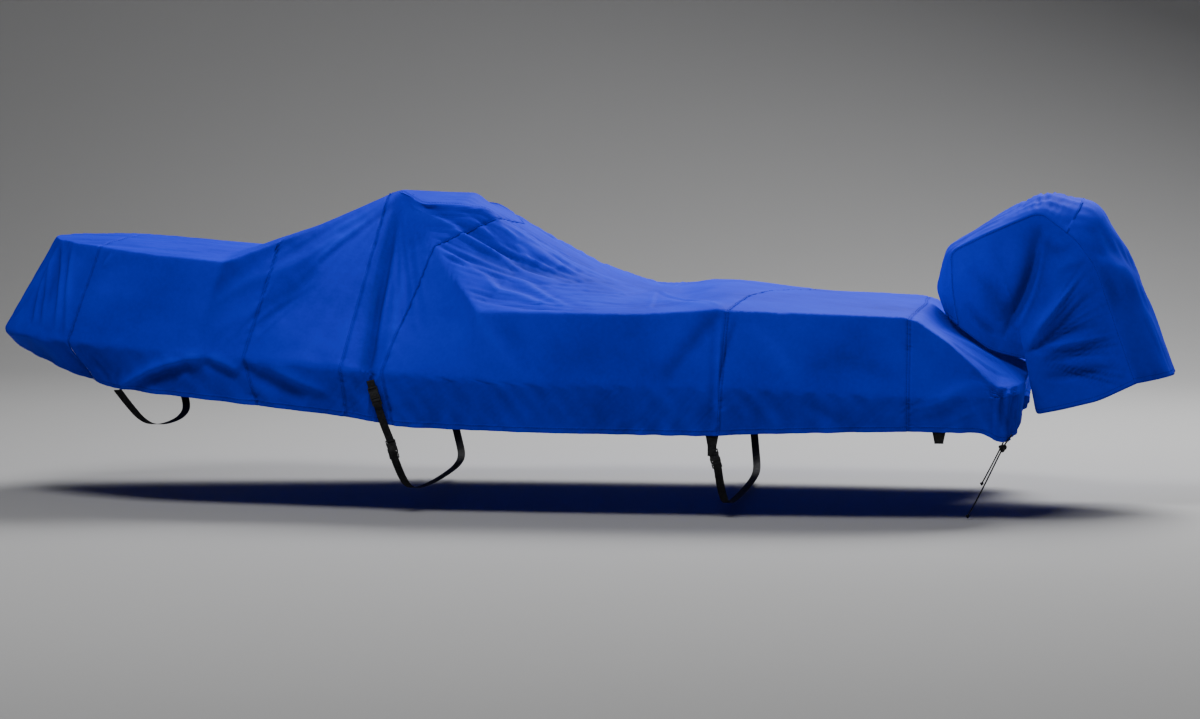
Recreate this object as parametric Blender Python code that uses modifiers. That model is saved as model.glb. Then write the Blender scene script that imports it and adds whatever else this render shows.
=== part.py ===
"""Fitted cover for an open skiff with a centre console, and the hood for its outboard motor.

The boat itself is left out: the cover is a hollow shell of sewn cloth panels, held up under the
peak over the console.  +X runs aft, -Y is the port side, +Z is up.  The tables below measure x
from the peak and heights from the hull's lowest strap; everything is then moved so that the
origin lies under the crown panel, where the console carries the cover.
"""
import math
from collections import namedtuple

import bmesh
import bpy
import numpy as np
from mathutils import Matrix, Vector

# ---------------------------------------------------------------- driving sizes, in metres
CLOTH = 0.002                 # thickness of the coated cloth
SEAM_GAP = 0.0011             # space left between neighbouring panels
SEAM_STRIP = 0.010            # width of the narrow strip of facets beside each seam
HOLD_X = 0.20                 # where the console carries the cover, aft of the peak
NOSE_LENGTH = 0.84            # length of the rounded bow in plan
STERN_LENGTH = 0.34           # length over which the stern corners turn
STERN_SQUARENESS = 5.0        # exponent of the stern corners' superellipse
SECTION_SOFTNESS = 0.016      # half the length of cloth that rounds each lengthwise crease
PROBE = 0.003                 # step used to find the cloth's direction
WEBBING = 0.038               # width of the strap webbing
WEBBING_THICK = 0.0025
BUCKLE = (0.050, 0.098, 0.014)    # width, length along the strap, thickness
TAB = (0.070, 0.042, 0.056)       # width at the hem, width at the foot, length
CORD_DIAMETER = 0.007
TIE_KNOT = 0.034              # diameter of the knot at the gathered corner
END_KNOT = 0.018              # diameter of the knot at the tie's free end
TAB_INSIDE = 0.008            # how far inside the cloth a tab is sewn
BUCKLE_GAP = 0.0060           # space at each end of a buckle, where the webbing bends

# ---------------------------------------------------------------- the cover's crosswise lines
# Each row is a crosswise line of the cover, by its x on five lengthwise lines.  A seam row parts
# two panels; skew is how much further aft it lies on the starboard side; strips is how many
# strips of facets lie between the row and the next one.
Crossing = namedtuple("Crossing", "name hem gunwale edge shoulder centre skew strips")
CROSSINGS = [
    Crossing("stem", -1.985, -2.040, -1.765, -1.765, -1.765, 0.00, 6),
    Crossing("nose seam", -1.460, -1.575, -1.420, -1.420, -1.420, 0.00, 3),
    Crossing("bow corner", -0.860, -0.930, -0.783, -0.790, -0.800, 0.00, 2),
    Crossing("fore seam", -0.610, -0.670, -0.550, -0.550, -0.550, 0.00, 4),
    Crossing("rise seam", -0.165, -0.190, -0.100, -0.100, -0.100, 0.00, 1),
    Crossing("peak", -0.060, -0.070, -0.050, -0.050, -0.050, 0.00, 4),
    Crossing("peak seam", 0.060, 0.010, 0.180, 0.470, 0.560, 0.00, 3),
    Crossing("rail corner", 0.420, 0.460, 0.459, 0.680, 0.750, 0.00, 4),
    Crossing("dip", 1.290, 1.300, 1.300, 1.310, 1.330, 0.00, 3),
    Crossing("mid seam", 1.605, 1.620, 1.645, 1.700, 1.770, 0.25, 4),
    Crossing("aft seam", 2.490, 2.490, 2.490, 2.500, 2.520, 0.00, 2),
    Crossing("stern slope", 2.640, 2.645, 2.640, 2.650, 2.665, 0.00, 8),
    Crossing("transom", 3.030, 3.040, 3.030, 3.030, 3.030, 0.00, 0),
]

# ---------------------------------------------------------------- the cover's lengthwise lines
# x, half breadth before the ends are rounded, and height; softness rounds the corners along the
# line, and rise is what the line gains at the middle of the transom.
Point = namedtuple("Point", "x breadth height")
Line = namedtuple("Line", "name softness rise dish points")
HEM = Line("hem", 0.06, 0.05, 0.18, [
    Point(-1.985, 0.590, 0.700), Point(-1.630, 0.640, 0.588), Point(-1.330, 0.680, 0.508),
    Point(-0.930, 0.760, 0.476), Point(-0.160, 0.865, 0.404), Point(0.100, 0.890, 0.360),
    Point(0.800, 0.910, 0.342), Point(1.560, 0.915, 0.337), Point(1.750, 0.910, 0.348),
    Point(2.150, 0.905, 0.360), Point(2.500, 0.880, 0.366), Point(2.800, 0.850, 0.360),
    Point(2.880, 0.850, 0.352), Point(2.945, 0.845, 0.255),
    Point(3.030, 0.830, 0.400)])
GUNWALE = Line("gunwale", 0.10, 0.01, 0.10, [
    Point(-2.040, 0.660, 0.755), Point(-1.200, 0.765, 0.706), Point(-0.400, 0.885, 0.652),
    Point(0.200, 0.930, 0.607), Point(0.750, 0.945, 0.572), Point(1.600, 0.950, 0.566),
    Point(2.100, 0.940, 0.546), Point(2.500, 0.920, 0.527), Point(3.040, 0.890, 0.535)])
EDGE = Line("edge", 0.012, 0.015, 0.03, [
    Point(-1.765, 0.620, 1.212), Point(-1.440, 0.665, 1.190), Point(-1.065, 0.700, 1.151),
    Point(-0.783, 0.740, 1.127), Point(-0.420, 0.400, 1.270), Point(-0.050, 0.050, 1.445),
    Point(0.200, 0.450, 1.172), Point(0.459, 0.860, 0.905), Point(1.240, 0.870, 0.905),
    Point(1.610, 0.870, 0.930), Point(1.670, 0.870, 0.925), Point(2.460, 0.840, 0.898),
    Point(2.530, 0.835, 0.880), Point(2.670, 0.840, 0.783), Point(2.900, 0.850, 0.575),
    Point(3.030, 0.850, 0.570)])
SHOULDER = Line("shoulder", 0.030, -0.02, 0.02, [
    Point(-1.765, 0.310, 1.212), Point(-1.440, 0.340, 1.202), Point(-0.800, 0.380, 1.148),
    Point(-0.420, 0.200, 1.278), Point(-0.050, 0.025, 1.446), Point(0.100, 0.250, 1.385),
    Point(0.400, 0.250, 1.374), Point(0.620, 0.300, 1.215), Point(0.850, 0.380, 1.070),
    Point(1.150, 0.430, 0.960), Point(1.400, 0.430, 0.945), Point(1.600, 0.430, 0.978),
    Point(2.530, 0.420, 0.898), Point(2.610, 0.440, 0.828), Point(2.760, 0.520, 0.760),
    Point(2.900, 0.560, 0.675), Point(3.030, 0.560, 0.605)])
CENTRE = Line("centre", 0.025, -0.02, 0.02, [
    Point(-1.765, 0.0, 1.212), Point(-1.440, 0.0, 1.206), Point(-0.800, 0.0, 1.152),
    Point(-0.420, 0.0, 1.280), Point(-0.050, 0.0, 1.447), Point(0.330, 0.0, 1.434),
    Point(0.390, 0.0, 1.380), Point(0.790, 0.0, 1.150), Point(0.990, 0.0, 1.045),
    Point(1.200, 0.0, 0.975), Point(1.350, 0.0, 0.955), Point(1.500, 0.0, 0.990),
    Point(1.650, 0.0, 0.978), Point(2.560, 0.0, 0.905), Point(2.640, 0.0, 0.825),
    Point(2.720, 0.0, 0.745), Point(2.850, 0.0, 0.660), Point(3.030, 0.0, 0.605)])
LINES = [HEM, GUNWALE, EDGE, SHOULDER, CENTRE]
LEVELS = 2 * len(LINES) - 2   # level 0 is the port hem, 4 the centre and 8 the starboard hem
RUNGS = (2, 4, 4, 4)          # rows of facets between one lengthwise line and the next
# how much higher the starboard rail stands than the port one
Lift = namedtuple("Lift", "x height")
LIFTS = [Lift(0.60, 0.0), Lift(0.95, 0.020), Lift(1.25, 0.020), Lift(1.42, 0.040),
         Lift(1.60, 0.010), Lift(1.90, 0.0)]

# ---------------------------------------------------------------- main folds of the cover
# A route runs through places given by the crosswise line's gunwale x and the level.  The depth
# is positive for a ridge and negative for a valley, and fades out at both ends.
Fold = namedtuple("Fold", "name route width depth")
FOLDS = [
    Fold("peak valley", [(-0.07, 1.93), (-0.08, 1.5), (-0.07, 1.0), (-0.05, 0.70)], 0.045, -0.022),
    Fold("peak ridge", [(-0.02, 1.85), (-0.02, 1.4), (0.03, 1.05)], 0.045, 0.012),
    Fold("strap pleat", [(-0.20, 1.05), (-0.06, 0.72)], 0.040, 0.012),
    Fold("bow strap pull", [(-1.30, 0.20), (-1.05, 0.70), (-0.86, 1.02)], 0.050, 0.014),
    Fold("first nose pleat", [(-1.99, 1.2), (-1.93, 1.85)], 0.045, 0.010),
    Fold("second nose pleat", [(-1.86, 1.15), (-1.80, 1.85)], 0.045, -0.010),
    Fold("third nose pleat", [(-1.72, 1.10), (-1.68, 1.85)], 0.050, 0.010),
    Fold("rise ridge", [(-0.85, 1.65), (-0.50, 1.78), (-0.20, 1.93)], 0.035, 0.010),
    Fold("slope valley", [(0.03, 2.4), (0.35, 2.6), (0.85, 3.0)], 0.050, -0.014),
    Fold("slope ridge", [(0.02, 2.8), (0.35, 3.1), (0.95, 3.5)], 0.050, 0.012),
    Fold("dip ridge", [(1.28, 2.9), (1.60, 2.05)], 0.050, 0.014),
    Fold("stern corner fold", [(2.80, 1.9), (2.93, 1.2), (2.95, 0.3)], 0.045, -0.014),
    Fold("aft side sag", [(1.95, 1.2), (2.40, 1.6)], 0.110, -0.010),
    Fold("mid side sag", [(0.75, 1.2), (1.30, 1.6)], 0.110, -0.008),
]
FAR_SHIFT = 0.045             # the starboard folds lie this much further aft
FAR_DEPTH = 0.8               # and are this much as deep

# ---------------------------------------------------------------- panels of the cover
# A panel lies between two crossings and between two levels.
Panel = namedtuple("Panel", "name start end low high")
CROWN_LOW = 3.12
CROWN_HIGH = LEVELS - CROWN_LOW
PANELS = [
    Panel("cover_nose", "stem", "nose seam", 0, LEVELS),
    Panel("cover_fore", "nose seam", "fore seam", 0, LEVELS),
    Panel("cover_rise", "fore seam", "rise seam", 0, LEVELS),
    Panel("cover_peak_port", "rise seam", "peak seam", 0, CROWN_LOW),
    Panel("cover_crown", "rise seam", "peak seam", CROWN_LOW, CROWN_HIGH),
    Panel("cover_peak_starboard", "rise seam", "peak seam", CROWN_HIGH, LEVELS),
    Panel("cover_mid", "peak seam", "mid seam", 0, LEVELS),
    Panel("cover_aft", "mid seam", "aft seam", 0, LEVELS),
    Panel("cover_stern", "aft seam", "transom", 0, LEVELS),
]

# ---------------------------------------------------------------- motor hood
# Each row is a place along the hood's outline, from the front of its hem over the crown to the
# back of its hem: the side seam's x, half breadth and height, and the middle's x and height.
Outline = namedtuple("Outline", "name x breadth height middle_x middle_height")
HOOD = [
    Outline("front hem", 2.680, 0.215, 0.818, 2.615, 0.862),
    Outline("front", 2.650, 0.215, 0.990, 2.566, 0.990),
    Outline("front top", 2.640, 0.190, 1.172, 2.625, 1.180),
    Outline("crown", 2.835, 0.215, 1.270, 2.810, 1.305),
    Outline("hood peak", 3.070, 0.175, 1.370, 3.088, 1.456),
    Outline("rear top", 3.253, 0.235, 1.236, 3.345, 1.405),
    Outline("rear shoulder", 3.345, 0.265, 1.110, 3.520, 1.105),
    Outline("rear", 3.456, 0.295, 0.790, 3.640, 0.790),
    Outline("rear hem", 3.539, 0.310, 0.556, 3.716, 0.585)]
HOOD_TOP_START = 2            # rows at which the hood's top outline starts and ends
HOOD_TOP_END = 4
HOOD_CROSS_SEAM = 4.70        # place of the seam across the crown, counted in rows
# the side hem, from the front seam, down behind the transom and back to the rear seam
HOOD_HEM = [
    Outline("front hem", 2.680, 0.215, 0.818, 0, 0),
    Outline("over the well", 2.840, 0.285, 0.705, 0, 0),
    Outline("over the transom", 3.070, 0.300, 0.650, 0, 0),
    Outline("behind the transom", 3.054, 0.305, 0.400, 0, 0),
    Outline("side", 3.180, 0.305, 0.425, 0, 0),
    Outline("side aft", 3.360, 0.305, 0.470, 0, 0),
    Outline("rear hem", 3.539, 0.310, 0.556, 0, 0)]
HOOD_BULGE = 0.045            # how far the hood's sides swell
HOOD_SOFTNESS = 0.20          # share of a row over which the hood's corners are rounded
HOOD_STRIPS = 3               # strips of facets between one row and the next
HOOD_INSET = 0.0050           # how far the front and rear stop short of the sides' outer face
# how square the hood is between its side seams, by row: 2 is round, and more is squarer
HOOD_FULLNESS = ((0.0, 2.0), (4.7, 2.0), (6.0, 3.4))
HOOD_SEAM_GAP = 0.003         # space at the seam across the crown, in rows, about SEAM_GAP
HOOD_SEAM_STRIP = 0.06        # narrow strip of facets beside that seam, in rows
HOOD_SIDE_GRID = (12, 8)      # facets along and up each side
HOOD_BAND_STRIPS = 6          # facets across the front, crown and rear
HOOD_FOLDS = [                # folds of the hood's sides, by x and height
    Fold("long valley", [(3.07, 1.33), (3.06, 1.15), (3.02, 0.98), (2.90, 0.82)], 0.045, -0.020),
    Fold("pinched ridge", [(3.00, 0.72), (3.12, 0.86), (3.30, 1.05)], 0.045, 0.012)]

# ---------------------------------------------------------------- straps, by x, half breadth and
# height on the port half, from the cloth down round the hull to its middle
BOW_STRAP = [Point(-1.335, 0.600, 0.495), Point(-1.290, 0.560, 0.420), Point(-1.240, 0.480, 0.335),
             Point(-1.215, 0.300, 0.300), Point(-1.205, 0.0, 0.290)]
MID_LINK = [Point(-0.004, 0.918, 0.461), Point(0.020, 0.912, 0.380), Point(0.046, 0.888, 0.304)]
MID_STRAP = [Point(0.069, 0.872, 0.204), Point(0.095, 0.845, 0.120), Point(0.120, 0.780, 0.060),
             Point(0.135, 0.550, 0.040), Point(0.140, 0.280, 0.034), Point(0.140, 0.0, 0.032)]
AFT_STRAP = [Point(1.603, 0.885, 0.178), Point(1.615, 0.860, 0.080), Point(1.628, 0.790, 0.012),
             Point(1.632, 0.600, -0.008), Point(1.634, 0.300, -0.014), Point(1.634, 0.0, -0.016)]
STERN_TAB_X = 2.637
AFT_TAB_X = 1.590
TIE = [Point(2.968, 0.800, 0.352), Point(2.948, 0.815, 0.325), Point(2.926, 0.822, 0.290),
       Point(2.895, 0.812, 0.225), Point(2.850, 0.790, 0.130), Point(2.805, 0.762, 0.040),
       Point(2.765, 0.735, -0.035)]
TIE_POINTS = 14               # points along the tie below its knot

ROYAL_BLUE = (0.012, 0.043, 0.420, 1.0)
WEB_BLACK = (0.012, 0.012, 0.013, 1.0)
PLASTIC_BLACK = (0.018, 0.018, 0.019, 1.0)


# ---------------------------------------------------------------- scene and materials
def clear_scene():
    for leftover in list(bpy.data.objects):
        bpy.data.objects.remove(leftover, do_unlink=True)


def make_collection(name):
    collection = bpy.data.collections.new(name)
    bpy.context.scene.collection.children.link(collection)
    return collection


def make_material(name, colour, roughness):
    material = bpy.data.materials.new(name)
    material.use_nodes = True
    shader = material.node_tree.nodes["Principled BSDF"]
    shader.inputs["Base Color"].default_value = colour
    shader.inputs["Roughness"].default_value = roughness
    shader.inputs["Metallic"].default_value = 0.0
    material.diffuse_color = colour
    return material


# ---------------------------------------------------------------- tables read along their length
def softened(places, values, at, softness):
    """Straight runs between a table's rows, their corners rounded over the softness."""
    room = np.minimum(at - places[0], places[-1] - at)
    reach = np.clip(room, 0.0, softness)
    shares = np.linspace(-1.0, 1.0, 9)
    return np.mean([np.interp(at + reach * share, places, values) for share in shares], axis=0)


def column(rows, name):
    return np.array([getattr(row, name) for row in rows])


def end_rounding(gunwale_x):
    """Share of the full breadth: 0 at the stem and at the middle of the transom, 1 between."""
    fore = np.clip(1.0 - (gunwale_x - CROSSINGS[0].gunwale) / NOSE_LENGTH, 0.0, 1.0)
    aft = np.clip(1.0 - (CROSSINGS[-1].gunwale - gunwale_x) / STERN_LENGTH, 0.0, 1.0)
    stern = (1.0 - aft ** STERN_SQUARENESS) ** (1.0 / STERN_SQUARENESS)
    return np.sqrt(1.0 - fore ** 2) * stern


def line_places(line, side, gunwale_x, x_shift):
    """One lengthwise line's places at the crosswise lines named by their gunwale x."""
    along = column(CROSSINGS, "gunwale")
    x = np.interp(gunwale_x, along, column(CROSSINGS, line.name)) + x_shift
    if side > 0 and line is not CENTRE:
        x = x + np.interp(gunwale_x, along, column(CROSSINGS, "skew"))
    rounding = end_rounding(gunwale_x)
    to_middle = np.where(gunwale_x > 0.0, 1.0 - rounding, 0.0)
    places = column(line.points, "x")
    breadth = softened(places, column(line.points, "breadth"), x, line.softness) * rounding
    height = softened(places, column(line.points, "height"), x, line.softness)
    height = height + line.rise * np.sqrt(to_middle)
    if side > 0 and line in (EDGE, SHOULDER):
        height = height + softened(column(LIFTS, "x"), column(LIFTS, "height"), x, 0.03)
    return np.stack([x - line.dish * to_middle ** 2, side * breadth, height], axis=-1)


def plain_cloth(gunwale_x, level, x_shift, girth_shift):
    """The cloth without its folds; all four arguments are arrays of one length."""
    port = [line_places(line, -1, gunwale_x, x_shift) for line in LINES]
    starboard = [line_places(line, 1, gunwale_x, x_shift) for line in reversed(LINES[:-1])]
    corners = np.stack(port + starboard, axis=1)
    runs = np.linalg.norm(np.diff(corners, axis=1), axis=2)
    girths = np.concatenate([np.zeros((len(runs), 1)), np.cumsum(runs, axis=1)], axis=1)
    total = girths[:, -1]
    rows = np.arange(len(runs))
    run = np.clip(level.astype(int), 0, LEVELS - 1)
    girth = girths[rows, run] + (level - run) * runs[rows, run] + girth_shift
    reach = np.clip(np.minimum(girth, total - girth), 0.0, SECTION_SOFTNESS)
    place = np.zeros((len(rows), 3))
    shares = np.linspace(-1.0, 1.0, 7)
    for share in shares:
        at = girth + reach * share
        run = np.clip((girths[:, 1:-1] <= at[:, None]).sum(axis=1), 0, LEVELS - 1)
        part = (at - girths[rows, run]) / np.maximum(runs[rows, run], 1e-9)
        step = corners[rows, run + 1] - corners[rows, run]
        place += corners[rows, run] + np.clip(part, 0.0, 1.0)[:, None] * step
    return place / len(shares)


def outward(gunwale_x, level, x_shift, girth_shift):
    """Unit vectors square to the plain cloth, pointing out of the cover."""
    first = CROSSINGS[0].gunwale
    last = CROSSINGS[-1].gunwale
    aft = plain_cloth(np.minimum(gunwale_x + PROBE, last), level, x_shift, girth_shift)
    fore = plain_cloth(np.maximum(gunwale_x - PROBE, first), level, x_shift, girth_shift)
    over = plain_cloth(gunwale_x, level, x_shift, girth_shift + PROBE)
    under = plain_cloth(gunwale_x, level, x_shift, girth_shift - PROBE)
    square = np.cross(aft - fore, over - under)
    length = np.linalg.norm(square, axis=1, keepdims=True)
    return square / np.maximum(length, 1e-12)


def smooth_route(points, count):
    """Evenly counted places on a route through a few points."""
    points = np.array(points, dtype=float)
    share = np.linspace(0.0, 1.0, len(points))
    at = np.linspace(0.0, 1.0, count)
    softness = 0.5 / (len(points) - 1) if len(points) > 2 else 0.0
    return np.stack([softened(share, points[:, i], at, softness) for i in range(points.shape[1])],
                    axis=-1)


def fold_push(places, route, width, depth):
    """How far a fold pushes each place: full on the route, nothing past its width."""
    gaps = np.linalg.norm(places[:, None, :] - route[None, :, :], axis=2)
    nearest = gaps.argmin(axis=1)
    distance = gaps.min(axis=1)
    fade = np.sin(np.pi * (nearest + 0.5) / len(route)) ** 0.6
    return depth * fade * np.exp(-(distance / width) ** 2)


def cloth(gunwale_x, level, x_shift=0.0, girth_shift=0.0):
    """The cover's outer surface with its folds, at arrays of crosswise line and level."""
    gunwale_x = np.asarray(gunwale_x, dtype=float)
    level = np.asarray(level, dtype=float)
    x_shift = np.zeros_like(gunwale_x) + x_shift
    girth_shift = np.zeros_like(gunwale_x) + girth_shift
    place = plain_cloth(gunwale_x, level, x_shift, girth_shift)
    push = np.zeros(len(place))
    for fold in FOLDS:
        for far in (False, True):
            route = smooth_route(fold.route, 24)
            if far:
                route[:, 0] += FAR_SHIFT
                route[:, 1] = LEVELS - route[:, 1]
            nothing = np.zeros(len(route))
            route_places = plain_cloth(route[:, 0], route[:, 1], nothing, nothing)
            depth = fold.depth * (FAR_DEPTH if far else 1.0)
            push += fold_push(place, route_places, fold.width, depth)
    room = np.clip(end_rounding(gunwale_x) / 0.15, 0.0, 1.0)
    square = outward(gunwale_x, level, x_shift, girth_shift)
    return place + square * (push * room)[:, None]


# ---------------------------------------------------------------- meshes
def to_frame(places):
    """Move places from the tables' measures to the part's own frame."""
    crown = np.interp(HOLD_X, column(CENTRE.points, "x"), column(CENTRE.points, "height"))
    return np.asarray(places, dtype=float) - np.array([HOLD_X, 0.0, crown - CLOTH])


def link_mesh(name, mesh, material, collection):
    thing = bpy.data.objects.new(name, mesh)
    mesh.materials.append(material)
    collection.objects.link(thing)
    return thing


def sheet_object(name, places, thickness, offset, material, collection):
    """A grid of places, in rows, as one sheet thickened with Solidify."""
    sheet = bmesh.new()
    rows = [[sheet.verts.new(place) for place in row] for row in to_frame(places)]
    for near, far in zip(rows[:-1], rows[1:]):
        for i in range(len(near) - 1):
            sheet.faces.new((near[i], far[i], far[i + 1], near[i + 1]))
    bmesh.ops.remove_doubles(sheet, verts=sheet.verts, dist=0.0001)
    mesh = bpy.data.meshes.new(name)
    sheet.to_mesh(mesh)
    sheet.free()
    thing = link_mesh(name, mesh, material, collection)
    solidify = thing.modifiers.new("thickness", "SOLIDIFY")
    solidify.thickness = thickness
    solidify.offset = offset
    return thing


# ---------------------------------------------------------------- the cover
def crossing_named(name):
    return next(crossing for crossing in CROSSINGS if crossing.name == name)


def panel_lines(panel):
    """The panel's crosswise lines by gunwale x, and the levels of its lengthwise lines."""
    start = CROSSINGS.index(crossing_named(panel.start))
    end = CROSSINGS.index(crossing_named(panel.end))
    lines = [CROSSINGS[start].gunwale]
    for near, far in zip(CROSSINGS[start:end], CROSSINGS[start + 1:end + 1]):
        share = np.linspace(0.0, 1.0, near.strips + 1)[1:]
        if near is CROSSINGS[0]:
            share = share ** 2
        if far is CROSSINGS[-1]:
            share = 1.0 - (1.0 - share) ** 2.4
        lines.extend(near.gunwale + (far.gunwale - near.gunwale) * share)
    if start > 0:
        lines.insert(1, lines[0] + SEAM_STRIP)
    if end < len(CROSSINGS) - 1:
        lines.insert(-1, lines[-1] - SEAM_STRIP)
    levels = [panel.low]
    for level in range(LEVELS):
        rungs = RUNGS[min(level, LEVELS - 1 - level)]
        levels.extend(level + step / rungs for step in range(rungs)
                      if panel.low + 0.05 < level + step / rungs < panel.high - 0.05)
    levels.append(panel.high)
    return np.array(lines), np.array(levels)


def make_panel(panel, material, collection):
    lines, levels = panel_lines(panel)
    x_shift = np.zeros((len(lines), len(levels)))
    girth_shift = np.zeros_like(x_shift)
    if panel.start != "stem":
        x_shift[0] = SEAM_GAP / 2
    if panel.end != "transom":
        x_shift[-1] = -SEAM_GAP / 2
    if panel.low > 0:
        girth_shift[:, 0] = SEAM_GAP / 2
    if panel.high < LEVELS:
        girth_shift[:, -1] = -SEAM_GAP / 2
    along, around = np.meshgrid(lines, levels, indexing="ij")
    places = cloth(along.ravel(), around.ravel(), x_shift.ravel(), girth_shift.ravel())
    grid = places.reshape(len(lines), len(levels), 3)
    return sheet_object(panel.name, grid, CLOTH, -1.0, material, collection)


# ---------------------------------------------------------------- the motor hood
def outline_places(rows, at):
    """The port seam and the middle of the hood, at places counted in rows."""
    index = np.arange(len(rows), dtype=float)
    reads = [softened(index, column(rows, name), at, HOOD_SOFTNESS) for name in Outline._fields[1:]]
    seam = np.stack([reads[0], -reads[1], reads[2]], axis=-1)
    middle = np.stack([reads[3], np.zeros_like(at), reads[4]], axis=-1)
    return seam, middle


def make_hood_band(name, start, end, material, collection):
    """A front or rear piece of the hood, which lies between its two side seams."""
    strips = int(round((end - start) * HOOD_STRIPS))
    at = np.linspace(start, end, strips + 1)
    at = np.sort(np.append(at, [at[0] + HOOD_SEAM_STRIP, at[-1] - HOOD_SEAM_STRIP]))
    seam, middle = outline_places(HOOD, at)
    places = np.zeros((len(at), HOOD_BAND_STRIPS + 1, 3))
    fullness = np.interp(at, *np.transpose(HOOD_FULLNESS))[:, None]
    for i, across in enumerate(np.linspace(-1.0, 1.0, HOOD_BAND_STRIPS + 1)):
        crown = 1.0 - abs(across) ** fullness
        places[:, i] = seam * (1.0 - crown) + middle * crown
        places[:, i, 1] = -across * (seam[:, 1] + HOOD_INSET)
    return sheet_object(name, places, CLOTH, -1.0, material, collection)


def hood_side_places(side):
    """One side of the hood, blended between its front, top, rear and hem outlines."""
    along = np.linspace(0.0, 1.0, HOOD_SIDE_GRID[0] + 1)
    up = np.linspace(0.0, 1.0, HOOD_SIDE_GRID[1] + 1)
    last = len(HOOD) - 1
    hem = outline_places(HOOD_HEM, along * (len(HOOD_HEM) - 1))[0]
    top = outline_places(HOOD, HOOD_TOP_START + along * (HOOD_TOP_END - HOOD_TOP_START))[0]
    front = outline_places(HOOD, up * HOOD_TOP_START)[0]
    rear = outline_places(HOOD, last - up * (last - HOOD_TOP_END))[0]
    u = along[:, None, None]
    v = up[None, :, None]
    places = (1 - v) * hem[:, None] + v * top[:, None] + (1 - u) * front[None] + u * rear[None]
    places = places - ((1 - u) * (1 - v) * hem[0] + u * (1 - v) * hem[-1]
                       + (1 - u) * v * top[0] + u * v * top[-1])
    swell = HOOD_BULGE * np.sin(np.pi * u[..., 0]) * np.sin(np.pi * v[..., 0])
    flat = places.reshape(-1, 3)[:, [0, 2]]
    for fold in HOOD_FOLDS:
        route = smooth_route(fold.route, 24)
        swell += fold_push(flat, route, fold.width, fold.depth).reshape(swell.shape)
    places[..., 1] = (places[..., 1] - swell)
    if side > 0:
        places[..., 1] *= -1.0
        places = places[::-1]
    return places


def make_hood(material, collection):
    half = HOOD_SEAM_GAP / 2
    make_hood_band("hood_front", 0.0, HOOD_CROSS_SEAM - half, material, collection)
    make_hood_band("hood_rear", HOOD_CROSS_SEAM + half, len(HOOD) - 1.0, material, collection)
    for name, side in (("hood_port", -1), ("hood_starboard", 1)):
        sheet_object(name, hood_side_places(side), CLOTH, -1.0, material, collection)


# ---------------------------------------------------------------- straps, buckles and tabs
def half_route(points, side):
    return [Vector((point.x, side * point.breadth, point.height)) for point in points]


def make_webbing(name, route, widths, material, collection):
    """A flat strap along a route, as wide as its widths say, lying square to the boat's side."""
    places = []
    for i, place in enumerate(route):
        ahead = route[min(i + 1, len(route) - 1)]
        behind = route[max(i - 1, 0)]
        along = (ahead - behind).normalized()
        across = Vector((1.0, 0.0, 0.0)) - along * along.x
        half = across.normalized() * widths[min(i, len(widths) - 1)] / 2
        places.append([place - half, place + half])
    return sheet_object(name, places, WEBBING_THICK, 0.0, material, collection)


def make_under_strap(name, points, material, collection):
    port = half_route(points, -1)
    starboard = half_route(points, 1)
    route = port + starboard[::-1][1:]
    return make_webbing(name, route, [WEBBING], material, collection)


def make_buckle(name, top, bottom, material, collection):
    """A closed buckle between the ends of two straps."""
    along = (bottom - top).normalized()
    across = (Vector((1.0, 0.0, 0.0)) - along * along.x).normalized()
    facing = across.cross(along)
    body = bmesh.new()
    bmesh.ops.create_cube(body, size=1.0)
    length = (bottom - top).length - 2 * BUCKLE_GAP
    bmesh.ops.scale(body, vec=(BUCKLE[0], length, BUCKLE[2]), verts=body.verts)
    mesh = bpy.data.meshes.new(name)
    body.to_mesh(mesh)
    body.free()
    thing = link_mesh(name, mesh, material, collection)
    turn = Matrix((across, along, facing)).transposed().to_4x4()
    thing.matrix_world = Matrix.Translation(to_frame((top + bottom) / 2)) @ turn
    bevel = thing.modifiers.new("rounded edges", "BEVEL")
    bevel.width = 0.004
    bevel.segments = 1
    return thing


def cloth_spot(x, level, side, off):
    """A place off the cloth, outward for a positive distance."""
    at = np.array([x])
    if side > 0:
        for _ in range(12):
            at = x - np.interp(at, column(CROSSINGS, "gunwale"), column(CROSSINGS, "skew"))
    rung = np.array([level if side < 0 else LEVELS - level])
    square = outward(at, rung, np.zeros(1), np.zeros(1))
    return Vector((cloth(at, rung) + square * off)[0])


def make_tab(name, x, side, material, collection):
    """A tapered webbing tab sewn inside the hem and hanging below it."""
    sewn = cloth_spot(x, 0.10, side, -CLOTH - TAB_INSIDE)
    foot = cloth_spot(x, 0.0, side, -CLOTH - TAB_INSIDE) - Vector((0.0, 0.0, TAB[2]))
    make_webbing(name, [sewn, foot], TAB[:2], material, collection)
    return foot


def make_straps(web, plastic, collection):
    make_under_strap("strap_bow", BOW_STRAP, web, collection)
    make_under_strap("strap_mid", MID_STRAP, web, collection)
    make_under_strap("strap_aft", AFT_STRAP, web, collection)
    for word, side in (("port", -1), ("starboard", 1)):
        link = half_route(MID_LINK, side)
        make_webbing("link_mid_" + word, link, [WEBBING], web, collection)
        along = (link[0] - link[1]).normalized()
        top = link[0] + along * BUCKLE[1]
        make_buckle("buckle_mid_upper_" + word, top, link[0], plastic, collection)
        strap = half_route(MID_STRAP, side)
        make_buckle("buckle_mid_lower_" + word, link[-1], strap[0], plastic, collection)
        foot = make_tab("tab_aft_" + word, AFT_TAB_X, side, web, collection)
        aft = half_route(AFT_STRAP, side)
        make_buckle("buckle_aft_" + word, foot, aft[0], plastic, collection)
        make_tab("tab_stern_" + word, STERN_TAB_X, side, web, collection)


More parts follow.
